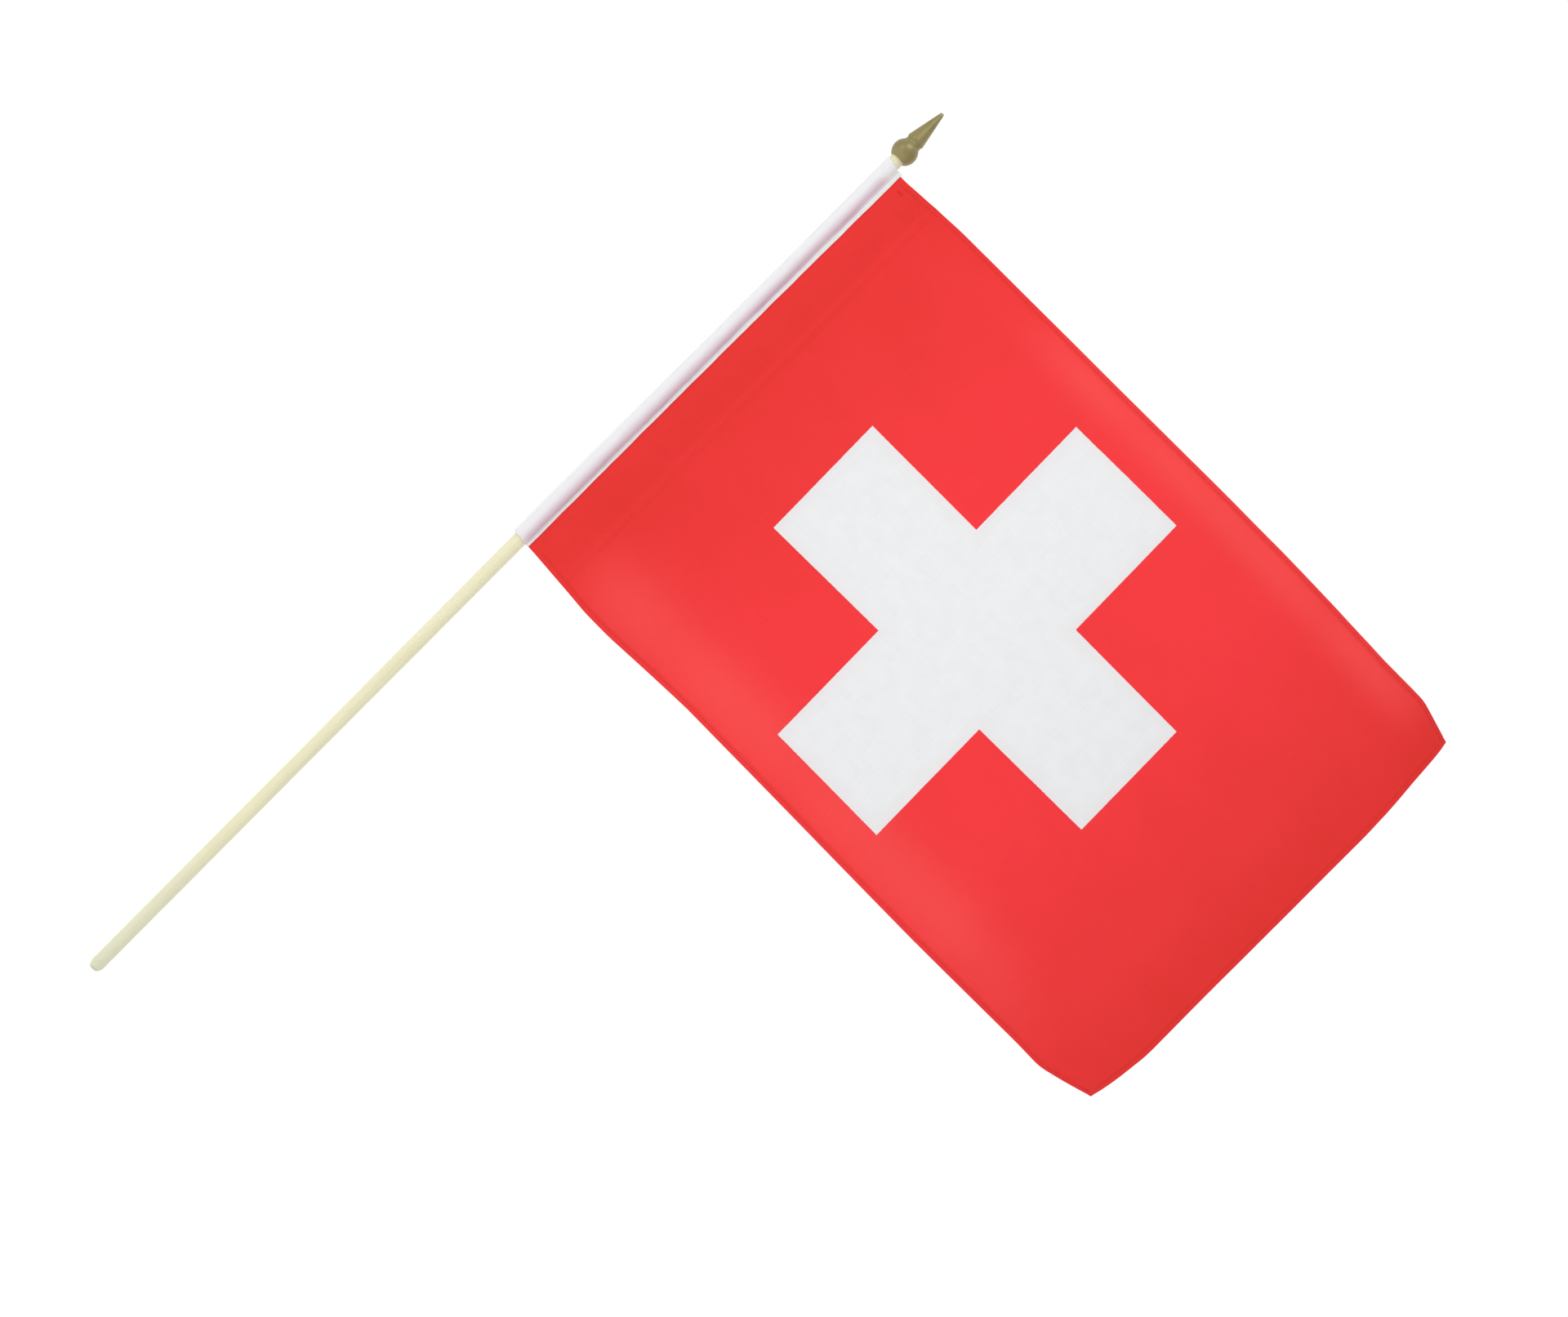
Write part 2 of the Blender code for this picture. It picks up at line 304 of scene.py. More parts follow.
def two_faced_sheet(middle: Array, rise: Array, half: Array, uv: Array, marks: dict[str, Array]) -> Surface:
    """A closed sheet of cloth with a front, a back and a rounded rim.

    The normal is the cross product of the middle surface's two grid directions. The front is the middle plus
    the normal times (rise + half), and the back is the middle plus the normal times (rise - half). Half is 0
    on the grid's border, so the two faces share the border's points and the sheet is closed.

    Args:
        middle: the middle surface, as rows x columns x 3.
        rise: how far the cloth's own middle stands off that surface, rows x columns.
        half: half the thickness, rows x columns, 0 on the border.
        uv: flat places, rows x columns x 2.
        marks: values for each grid place, stored with the mesh for its material.

    Returns:
        The closed surface.
    """
    rows, columns = half.shape
    normal = unit(np.cross(np.gradient(middle, axis=0), np.gradient(middle, axis=1)))
    front_points = middle + normal * (rise + half)[..., None]
    back_points = (middle + normal * (rise - half)[..., None])[1:-1, 1:-1]
    front = np.arange(rows * columns).reshape(rows, columns)
    back = front.copy()
    back[1:-1, 1:-1] = rows * columns + np.arange((rows - 2) * (columns - 2)).reshape(rows - 2, columns - 2)
    quads = np.concatenate([cells(front), cells(back)[:, ::-1]])
    quad_uv = np.concatenate([cells(uv), cells(uv)[:, ::-1]])
    both = {
        name: np.concatenate([value.ravel(), value[1:-1, 1:-1].ravel()]) for name, value in marks.items()
    }
    points = np.concatenate([front_points.reshape(-1, 3), back_points.reshape(-1, 3)])
    return Surface(points, quads, quad_uv, marks=both)


def round_rod(centres: Array, across: Array, lift: Array, radii: Array, around: int) -> Surface:
    """A closed round rod, turned part or thread: a circle carried along a line of centres.

    A point is centre + radius * (cos(angle) * across + sin(angle) * lift). Each end closes on a pole at its
    centre.

    Args:
        centres: the line, rows x 3.
        across: each circle's first direction, rows x 3 or one direction.
        lift: each circle's second direction. Across x lift points along the line.
        radii: rows, or rows x around where the rod isn't quite round.
        around: how many points go round a circle.

    Returns:
        The closed surface. Its UV has turns round the rod, and metres along the line.
    """
    rows = len(centres)
    angle = TURN * np.arange(around) / around
    across, lift = np.broadcast_to(across, (rows, 3)), np.broadcast_to(lift, (rows, 3))
    reach = radii if radii.ndim == 2 else np.repeat(radii[:, None], around, axis=1)
    spoke = across[:, None] * np.cos(angle)[None, :, None] + lift[:, None] * np.sin(angle)[None, :, None]
    rings = centres[:, None] + spoke * reach[..., None]
    points = np.concatenate([rings.reshape(-1, 3), centres[:1], centres[-1:]])
    grid = np.arange(rows * around).reshape(rows, around)
    ahead = np.roll(grid, -1, axis=1)
    outwards = [0, 3, 2, 1]
    quads = cells(np.concatenate([grid, grid[:, :1]], axis=1))[:, outwards]
    start, end = np.full(around, rows * around), np.full(around, rows * around + 1)
    triangles = np.concatenate([
        np.stack([start, ahead[0], grid[0]], axis=1),
        np.stack([end, grid[-1], ahead[-1]], axis=1),
    ])
    run = np.concatenate([[0.0], np.cumsum(np.linalg.norm(np.diff(rings[:, 0], axis=0), axis=1))])
    share = np.arange(around + 1) / around
    uv = np.stack(np.meshgrid(share, run, indexing="xy"), axis=2)
    quad_uv = cells(uv)[:, outwards]
    pole = (share[:-1] + share[1:]) / 2
    triangle_uv = np.concatenate([
        np.stack([np.stack([pole, np.full(around, run[0])], 1), uv[0, 1:], uv[0, :-1]], axis=1),
        np.stack([np.stack([pole, np.full(around, run[-1])], 1), uv[-1, :-1], uv[-1, 1:]], axis=1),
    ])
    return Surface(points, quads, quad_uv, triangles, triangle_uv)


def turned(profile: Array, around: int, unevenness: float, ridge: float = 0.0) -> Surface:
    """A part turned about the Z axis from its profile.

    The radius is the profile's own, changed by a few long shallow waves for a hand-finished look, and raised
    at two opposite angles where the mould closes.

    Args:
        profile: rows of (radius, height). It starts and ends on the axis, whose points become the poles.
        around: how many points go round a circle.
        unevenness: how far the radius strays, as a share of it.
        ridge: the height of the mould line.

    Returns:
        The closed surface.
    """
    radius, height = profile[1:-1, 0], profile[1:-1, 1]
    angle = TURN * np.arange(around) / around
    stray = wander(height[:, None] + 0.004 * np.cos(angle)[None], 61 * MM, 0.4) * unevenness
    mould = ridge * (np.cos(2 * (angle - 0.7)) ** 80)[None] * (np.cos(angle - 0.7)[None] ** 2 > 0.5)
    radii = radius[:, None] * (1 + stray) + mould * (radius[:, None] > 1 * MM)
    centres = np.stack([np.zeros_like(height), np.zeros_like(height), height], axis=1)
    surface = round_rod(centres, np.array([1.0, 0, 0]), np.array([0, 1.0, 0]), radii, around)
    surface.points[-2, 2], surface.points[-1, 2] = profile[0, 1], profile[-1, 1]
    return surface


def softened(profile: Array, step: float, window: int) -> Array:
    """A profile with its corners rounded: points at even steps along it, averaged over a few neighbours.

    Args:
        profile: rows of (radius, height).
        step: the distance between the new points.
        window: how many points the average runs over, an odd number.

    Returns:
        The new rows, with the same first and last point.
    """
    run = np.concatenate([[0.0], np.cumsum(np.linalg.norm(np.diff(profile, axis=0), axis=1))])
    even = np.linspace(0.0, run[-1], int(run[-1] / step) + 1)
    dense = np.stack([np.interp(even, run, profile[:, k]) for k in range(2)], axis=1)
    padded = np.pad(dense, ((window // 2, window // 2), (0, 0)), mode="edge")
    kernel = np.ones(window) / window
    smooth = np.stack([np.convolve(padded[:, k], kernel, mode="valid") for k in range(2)], axis=1)
    smooth[0], smooth[-1] = profile[0], profile[-1]
    return smooth


# ---------------------------------------------------------------------------------------------- materials


class NodeBench:
    """One material's nodes, laid out with short calls that each return the socket to use next."""

    def __init__(self, name: str) -> None:
        """Starts a material with a principled shader."""
        self.material = bpy.data.materials.new(name)
        self.material.use_nodes = True
        self.tree = self.material.node_tree
        self.shader = self.tree.nodes["Principled BSDF"]

    def feed(self, socket: Socket, value: "Socket | float | tuple") -> None:
        """Links a socket, or sets it to a plain value."""
        if isinstance(value, bpy.types.NodeSocket):
            self.tree.links.new(value, socket)
        else:
            socket.default_value = value

    def surface(self, **values: "Socket | float | tuple") -> None:
        """Sets the shader's sockets, named with underscores for spaces."""
        for name, value in values.items():
            self.feed(self.shader.inputs[name.replace("_", " ")], value)

    def coordinates(self, kind: str) -> Socket:
        """The piece's own Object or UV coordinates, in metres."""
        return self.tree.nodes.new("ShaderNodeTexCoord").outputs[kind]

    def mark(self, name: str) -> Socket:
        """A value stored with the piece's mesh.

        Args:
            name: the value's name.

        Returns:
            The value's socket.
        """
        node = self.tree.nodes.new("ShaderNodeAttribute")
        node.attribute_name = name
        return node.outputs["Fac"]

    def parts(self, vector: Socket) -> tuple[Socket, Socket, Socket]:
        """The three parts of a vector.

        Args:
            vector: the socket to split.

        Returns:
            The sockets of its parts.
        """
        node = self.tree.nodes.new("ShaderNodeSeparateXYZ")
        self.feed(node.inputs[0], vector)
        return node.outputs[0], node.outputs[1], node.outputs[2]

    def stretched(self, vector: Socket, scale: tuple, turn: float = 0.0) -> Socket:
        """The coordinates times a scale for each axis, and turned about Z.

        Args:
            vector: the coordinates.
            scale: a factor for each axis.
            turn: the turn in radians.

        Returns:
            The new coordinates.
        """
        node = self.tree.nodes.new("ShaderNodeMapping")
        self.feed(node.inputs["Vector"], vector)
        node.inputs["Scale"].default_value = scale
        node.inputs["Rotation"].default_value = (0.0, 0.0, turn)
        return node.outputs["Vector"]

    def math(self, operation: str, first: "Socket | float", second: "Socket | float" = 0.0) -> Socket:
        """One sum on one or two numbers.

        Args:
            operation: the sum's name.
            first: its first number.
            second: its second, where it takes two.

        Returns:
            The result's socket.
        """
        node = self.tree.nodes.new("ShaderNodeMath")
        node.operation = operation
        self.feed(node.inputs[0], first)
        self.feed(node.inputs[1], second)
        return node.outputs[0]

    def times(self, first: "Socket | float", second: "Socket | float") -> Socket:
        """The product of two numbers."""
        return self.math("MULTIPLY", first, second)

    def plus(self, first: "Socket | float", second: "Socket | float") -> Socket:
        """The sum of two numbers."""
        return self.math("ADD", first, second)

    def minus(self, first: "Socket | float", second: "Socket | float") -> Socket:
        """The first number less the second."""
        return self.math("SUBTRACT", first, second)

    def spread(self, value: Socket, low: float, high: float, out_low: float, out_high: float,
               smooth: bool = False) -> Socket:
        """The value, carried from one range to another and held at the ends.

        Args:
            value: the socket to read.
            low: the value that gives out_low.
            high: the value that gives out_high.
            out_low: the first result.
            out_high: the last result.
            smooth: eases in and out.

        Returns:
            The result's socket.
        """
        node = self.tree.nodes.new("ShaderNodeMapRange")
        node.interpolation_type = "SMOOTHSTEP" if smooth else "LINEAR"
        node.clamp = True
        for index, number in enumerate([value, low, high, out_low, out_high]):
            self.feed(node.inputs[index], number)
        return node.outputs[0]

    def noise(self, vector: Socket, scale: float, detail: float = 2.0, roughness: float = 0.5) -> Socket:
        """Cloudy noise from 0 to 1, about 0.5.

        Args:
            vector: the coordinates.
            scale: clouds for each unit of them.
            detail: how many finer layers are added.
            roughness: how strong each finer layer is.

        Returns:
            The noise's socket.
        """
        node = self.tree.nodes.new("ShaderNodeTexNoise")
        self.feed(node.inputs["Vector"], vector)
        node.inputs["Scale"].default_value = scale
        node.inputs["Detail"].default_value = detail
        node.inputs["Roughness"].default_value = roughness
        return node.outputs[0]

    def mix(self, share: "Socket | float", first: "Socket | Colour", second: "Socket | Colour") -> Socket:
        """A colour between two, by share.

        Args:
            share: 0 for the first colour, 1 for the second.
            first: a colour.
            second: another colour.

        Returns:
            The colour's socket.
        """
        node = self.tree.nodes.new("ShaderNodeMix")
        node.data_type = "RGBA"
        self.feed(node.inputs[0], share)
        for index, colour in ((6, first), (7, second)):
            linked = isinstance(colour, bpy.types.NodeSocket)
            self.feed(node.inputs[index], colour if linked else (*colour, 1.0))
        return node.outputs[2]

    def shaded(self, colour: Socket, factor: Socket) -> Socket:
        """The colour, times a number.

        Args:
            colour: the colour.
            factor: the number.

        Returns:
            The colour's socket.
        """
        node = self.tree.nodes.new("ShaderNodeVectorMath")
        node.operation = "SCALE"
        self.feed(node.inputs[0], colour)
        self.feed(node.inputs["Scale"], factor)
        return node.outputs[0]

    def bump(self, height: Socket, distance: float, under: "Socket | None" = None) -> Socket:
        """A bumped normal, distance metres high for a height of 1, over another if there is one.

        Args:
            height: the bumps' height.
            distance: the metres for a height of 1.
            under: a normal to add them to.

        Returns:
            The normal's socket.
        """
        node = self.tree.nodes.new("ShaderNodeBump")
        node.inputs["Strength"].default_value = 1.0
        node.inputs["Distance"].default_value = distance
        self.feed(node.inputs["Height"], height)
        if under is not None:
            self.feed(node.inputs["Normal"], under)
        return node.outputs[0]

    def weave(self, across: Socket, along: Socket, pitch: float) -> Socket:
        """A plain weave's height: cos(across) times cos(along), so threads pass over and under.

        Args:
            across: the first flat coordinate.
            along: the second.
            pitch: the distance from thread to thread.

        Returns:
            The height's socket, from -1 to 1.
        """
        first = self.math("COSINE", self.times(across, TURN / 2 / pitch))
        second = self.math("COSINE", self.times(along, TURN / 2 / pitch))
        return self.times(first, second)


@dataclass(frozen=True)
class WoodFinish:
    """Pale planed dowel wood with long fine grain."""

    pale: Colour = (0.80, 0.765, 0.535)
    streak: Colour = (0.68, 0.615, 0.375)
    pore: Colour = (0.50, 0.42, 0.24)
    handled: Colour = (0.66, 0.675, 0.51)
    handled_height: float = 130 * MM

    def material(self) -> bpy.types.Material:
        """Long grain, broad streaks, mottling and short pores, stretched along the stick, greyer at its foot.

        Returns:
            The material.
        """
        bench = NodeBench("pale_wood")
        place = bench.coordinates("Object")
        grain = bench.noise(bench.stretched(place, (900, 900, 14)), 1.0, 2.0, 0.45)
        broad = bench.noise(bench.stretched(place, (330, 330, 5)), 1.0, 2.0)
        mottle = bench.noise(bench.stretched(place, (90, 90, 34)), 1.0, 3.0)
        pores = bench.noise(bench.stretched(place, (2600, 2600, 90)), 1.0, 1.0)
        lines = bench.times(bench.spread(grain, 0.38, 0.66, 0.0, 1.0),
                            bench.spread(broad, 0.32, 0.68, 0.15, 1.0))
        colour = bench.mix(bench.times(lines, 0.34), self.pale, self.streak)
        colour = bench.mix(bench.spread(mottle, 0.45, 0.78, 0.0, 0.2), colour, self.streak)
        pits = bench.spread(pores, 0.67, 0.78, 0.0, 1.0)
        colour = bench.mix(bench.times(pits, 0.18), colour, self.pore)
        up = bench.parts(place)[2]
        greyed = bench.times(bench.spread(up, 0.0, self.handled_height, 0.85, 0.0, smooth=True),
                             bench.spread(mottle, 0.3, 0.7, 0.7, 1.0))
        colour = bench.mix(greyed, colour, self.handled)
        tip = bench.spread(up, 0.2 * MM, 2.6 * MM, 0.8, 1.0, smooth=True)
        height = bench.minus(grain, bench.times(pits, 0.2))
        bench.surface(
            Base_Color=bench.shaded(colour, tip),
            Roughness=bench.spread(mottle, 0.3, 0.7, 0.52, 0.68),
            Specular_IOR_Level=0.35,
            Normal=bench.bump(height, 0.006 * MM),
        )
        return bench.material


@dataclass(frozen=True)
class LacquerFinish:
    """Olive gold lacquer over moulded plastic."""

    gold: Colour = (0.272, 0.230, 0.086)
    brown: Colour = (0.258, 0.196, 0.084)
    worn: Colour = (0.52, 0.48, 0.36)
    worn_height: float = 2.2 * MM
    tip_height: float = 0.678

    def material(self) -> bpy.types.Material:
        """Cloudy gold with fine flakes, browner patches, and lacquer worn pale at the very tip.

        Returns:
            The material.
        """
        bench = NodeBench("gold_lacquer")
        place = bench.coordinates("Object")
        cloud = bench.noise(place, 130.0, 3.0, 0.6)
        flake = bench.noise(place, 3600.0, 1.0)
        scuff = bench.noise(bench.stretched(place, (420, 420, 160)), 1.0, 3.0, 0.55)
        colour = bench.mix(bench.spread(cloud, 0.42, 0.66, 0.0, 0.75, smooth=True), self.gold, self.brown)
        colour = bench.shaded(colour, bench.spread(flake, 0.3, 0.7, 0.98, 1.02))
        height = bench.parts(place)[2]
        near_tip = bench.spread(height, self.tip_height - self.worn_height, self.tip_height, 0.0, 1.0)
        paled = bench.times(near_tip, bench.spread(scuff, 0.35, 0.6, 0.3, 1.0))
        colour = bench.mix(paled, colour, self.worn)
        bench.surface(
            Base_Color=colour,
            Metallic=0.3,
            Roughness=bench.spread(scuff, 0.3, 0.75, 0.46, 0.56),
            Specular_IOR_Level=0.45,
            Coat_Weight=0.08,
            Coat_Roughness=0.3,
            Normal=bench.bump(scuff, 0.004 * MM),
        )
        return bench.material


@dataclass(frozen=True)
class GlueFinish:
    """Hardened amber glue."""

    amber: Colour = (0.72, 0.55, 0.24)
    cloudy: Colour = (0.82, 0.72, 0.50)

    def material(self) -> bpy.types.Material:
        """Amber with cloudy patches and small bubbles.

        Returns:
            The material.
        """
        bench = NodeBench("hard_glue")
        place = bench.coordinates("Object")
        cloud = bench.noise(place, 600.0, 3.0)
        bubble = bench.noise(place, 4000.0, 1.0)
        bench.surface(
            Base_Color=bench.mix(bench.spread(cloud, 0.4, 0.65, 0.0, 1.0), self.amber, self.cloudy),
            Roughness=bench.spread(cloud, 0.3, 0.7, 0.12, 0.3),
            Normal=bench.bump(bubble, 0.03 * MM),
        )
        return bench.material


@dataclass(frozen=True)
class TapeFinish:
    """White woven sleeve tape with the red cloth's edge showing through beside the seam, and painted shade
    there.
    """

    foot: float
    head: float
    white: Colour = (0.795, 0.79, 0.80)
    # Mauve of the red cloth showing through the tape, darkened by painted shade.
    show_through_and_shade: Colour = (0.67, 0.475, 0.57)
    pitch: float = 0.36 * MM

    def material(self) -> bpy.types.Material:
        """A fine plain weave, whiter on the doubled edge, with a soft mauve band beside it, partly red
        showing through and partly painted shade.

        Returns:
            The material.
        """
        bench = NodeBench("white_tape")
        place = bench.coordinates("Object")
        across, along, _ = bench.parts(bench.coordinates("UV"))
        gap = bench.mark("seam_gap")
        blotch = bench.noise(bench.stretched(place, (120, 120, 45)), 1.0, 3.0, 0.6)
        wide = bench.plus(gap, bench.spread(blotch, 0.3, 0.7, -0.8 * MM, 0.8 * MM))
        near = bench.spread(wide, 1.8 * MM, 4.2 * MM, 0.0, 1.0, smooth=True)
        far = bench.spread(wide, 5.4 * MM, 10.8 * MM, 1.0, 0.0, smooth=True)
        height = bench.parts(place)[2]
        ends = bench.times(
            bench.spread(height, self.foot, self.foot + 6 * MM, 0.55, 1.0, smooth=True),
            bench.spread(height, self.head - 13 * MM, self.head - 5 * MM, 1.0, 0.0, smooth=True),
        )
        band = bench.times(bench.times(near, far), ends)
        band = bench.times(band, bench.spread(blotch, 0.3, 0.7, 0.55, 0.95))
        # The mauve band: partly the red cloth showing through the tape, partly painted shade where the tape
        # dips from the stick to the flap.
        colour = bench.mix(band, self.white, self.show_through_and_shade)
        weave = bench.weave(across, along, self.pitch)
        slub = bench.noise(bench.stretched(bench.coordinates("UV"), (2600, 120, 1)), 1.0, 2.0)
        # Darker where the weave and slubs are low: random slub tone, plus painted shade in the weave's
        # hollows.
        colour = bench.shaded(colour, bench.spread(bench.plus(weave, slub), -0.6, 1.6, 0.95, 1.03))
        bench.surface(
            Base_Color=colour,
            Roughness=bench.spread(weave, -1.0, 1.0, 0.9, 0.78),
            Specular_IOR_Level=0.25,
            Sheen_Weight=0.12,
            Sheen_Roughness=0.5,
            Normal=bench.bump(bench.plus(weave, slub), 0.03 * MM),
        )
        return bench.material


@dataclass(frozen=True)
class PrintFinish:
    """Red polyester with the white cross printed through it, between its hoist and its fly."""

    hoist: float
    fly: float
    red: Colour = (0.862, 0.0355, 0.042)
    # Darker red: random patches of uneven dye, and painted shade towards the hoist, the fly and on the hems.
    dye_and_shade_red: Colour = (0.755, 0.029, 0.024)
    # Paler red, painted as a sheen in two bands beside the long edges.
    painted_sheen_red: Colour = (0.880, 0.062, 0.062)
    white: Colour = (0.785, 0.792, 0.797)
    grey_white: Colour = (0.765, 0.771, 0.778)
    pink_white: Colour = (0.765, 0.730, 0.745)
    centre: tuple[float, float] = (217.9 * MM, 485.7 * MM)
    length: float = 243.4 * MM
    height: float = 241.2 * MM
    arm: float = 79.4 * MM
    upright_shift: float = 1.0 * MM
    taper: float = 0.0065
    skew: float = 0.012
    bleed: float = 0.3 * MM
    creep: float = 9 * MM
    pitch: float = 0.31 * MM

    def outside(self, bench: NodeBench, across: Socket, up: Socket) -> Socket:
        """How far a place is outside the cross, below 0 on it.

        For an arm it is the larger of (distance across - half length) and (distance up - half width), and the
        cross is the smaller of its two arms' numbers. The level arm narrows a little towards the fly.

        Args:
            bench: the material's nodes.
            across: the flat place's first part.
            up: the flat place's second part.

        Returns:
            The distance's socket.
        """
        rise = bench.minus(up, self.centre[1])
        offset = bench.plus(bench.minus(across, self.centre[0]), bench.times(rise, self.skew))
        upwards = bench.math("ABSOLUTE", rise)
        narrowed = bench.times(bench.plus(offset, self.length / 4), self.taper)
        level = bench.math("MAXIMUM", bench.minus(bench.math("ABSOLUTE", offset), self.length / 2),
                           bench.minus(bench.plus(upwards, narrowed), self.arm / 2))
        sideways = bench.math("ABSOLUTE", bench.minus(offset, self.upright_shift))
        upright = bench.math("MAXIMUM", bench.minus(sideways, self.arm / 2),
                             bench.minus(upwards, self.height / 2))
        return bench.math("MINIMUM", level, upright)

    def material(self) -> bpy.types.Material:
        """The print over a fine weave, with uneven dye, thread-wise slubs, painted shade in the weave's
        hollows, and a darker red on the hems that is painted shade.

        The red is darkened towards the hoist and the fly as painted shade, paled in two bands beside the long
        edges as a painted sheen, and a little of it has crept into the white.

        Returns:
            The material.
        """
        bench = NodeBench("printed_polyester")
        flat = bench.coordinates("UV")
        across, up, _ = bench.parts(flat)
        jitter = bench.noise(flat, 900.0, 3.0, 0.7)
        shake = bench.spread(jitter, 0.3, 0.7, -0.16 * MM, 0.16 * MM)
        outside = self.outside(bench, bench.plus(across, shake), bench.minus(up, shake))
        cross = bench.spread(outside, -self.bleed / 2, self.bleed / 2, 1.0, 0.0, smooth=True)
        cloud = bench.noise(bench.stretched(flat, (14, 20, 1)), 1.0, 4.0, 0.6)
        fine_cloud = bench.noise(flat, 95.0, 4.0, 0.6)
        hem = bench.mark("hem")
        dye_and_shade_share = bench.spread(cloud, 0.35, 0.68, 0.0, 0.2, smooth=True)
        # Painted shade: the red is darkened towards the hoist, towards the fly and in a band along the fly
        # edge.
        for start, end, most in ((self.hoist + 150 * MM, self.hoist + 15 * MM, 0.8),
                                 (self.fly - 130 * MM, self.fly - 20 * MM, 0.45),
                                 (self.fly - 42 * MM, self.fly - 4 * MM, 0.35)):
            dye_and_shade_share = bench.plus(dye_and_shade_share, bench.spread(across, start, end, 0.0, most))
        red = bench.mix(dye_and_shade_share, self.red, self.dye_and_shade_red)
        # Painted sheen: the red is paled in two bands beside the long edges, standing in for light glancing
        # off the cloth.
        red = bench.mix(bench.mark("paled"), red, self.painted_sheen_red)
        # Painted shade: the hems are darkened towards the darker red, where their folded layers let less
        # light through than the single web.
        red = bench.mix(bench.times(hem, 0.45), red, self.dye_and_shade_red)
        white = bench.mix(bench.spread(fine_cloud, 0.4, 0.66, 0.0, 1.0), self.white, self.grey_white)
        white = bench.mix(bench.spread(outside, -self.creep, 0.0, 0.0, 0.7), white, self.pink_white)
        weave = bench.weave(across, up, self.pitch)
        warp = bench.noise(bench.stretched(flat, (60, 2400, 1)), 1.0, 2.0)
        weft = bench.noise(bench.stretched(flat, (2400, 60, 1)), 1.0, 2.0)
        slub = bench.plus(warp, weft)
        colour = bench.shaded(bench.mix(cross, red, white), bench.spread(slub, 0.6, 1.4, 0.965, 1.03))
        # Painted shade: the colour darkens where the weave is low, in the hollows between crossing threads.
        colour = bench.shaded(colour, bench.spread(weave, -1.0, 1.0, 0.965, 1.02))
        height = bench.plus(weave, bench.times(slub, 0.8))
        bench.surface(
            Base_Color=colour,
            Roughness=bench.spread(weave, -1.0, 1.0, 0.82, 0.66),
            Specular_IOR_Level=0.2,
            Sheen_Weight=0.06,
            Sheen_Roughness=0.45,
            Normal=bench.bump(height, 0.016 * MM),
        )
        return bench.material


@dataclass(frozen=True)
class ThreadFinish:
    """Two-ply sewing thread in one colour."""

    name: str
    colour: Colour
    # The darker colour: painted shade between the plies, and random fuzz.
    shade_and_fuzz: Colour
    plies: int = 2
    twist: float = 0.45 * MM

    def material(self) -> bpy.types.Material:
        """Slanting plies with painted shade in the grooves between them, and a little fuzz in the colour.

        Returns:
            The material.
        """
        bench = NodeBench(self.name)
        turn, along, _ = bench.parts(bench.coordinates("UV"))
        slant = bench.plus(bench.times(turn, self.plies * TURN), bench.times(along, TURN / self.twist))
        ply = bench.math("SINE", slant)
        fuzz = bench.noise(bench.coordinates("Object"), 3500.0, 2.0)
        # Painted shade in the grooves between the plies, plus random fuzz towards the same darker colour.
        share = bench.plus(bench.spread(ply, -1.0, 0.4, 0.75, 0.0), bench.spread(fuzz, 0.45, 0.7, 0.0, 0.3))
        bench.surface(
            Base_Color=bench.mix(share, self.colour, self.shade_and_fuzz),
            Roughness=bench.spread(fuzz, 0.3, 0.7, 0.5, 0.75),
            Specular_IOR_Level=0.3,
            Sheen_Weight=0.1,
            Normal=bench.bump(ply, 0.008 * MM),
        )
        return bench.material


# ---------------------------------------------------------------------------------------------- pieces


@dataclass
class Box:
    """A node's box at rest."""

    low: Vector
    high: Vector

    @classmethod
    def of(cls, node: str) -> "Box":
        """The box of a node of the frame."""
        return cls(*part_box(node))


def take_place(piece: bpy.types.Object, body: str, node: str) -> None:
    """Makes a piece ride on a body in place of a node, and hides the node.

    Args:
        piece: the new piece.
        body: the body that it moves with.
        node: the frame's node that it stands for.
    """
    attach(piece, body)
    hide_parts(node)


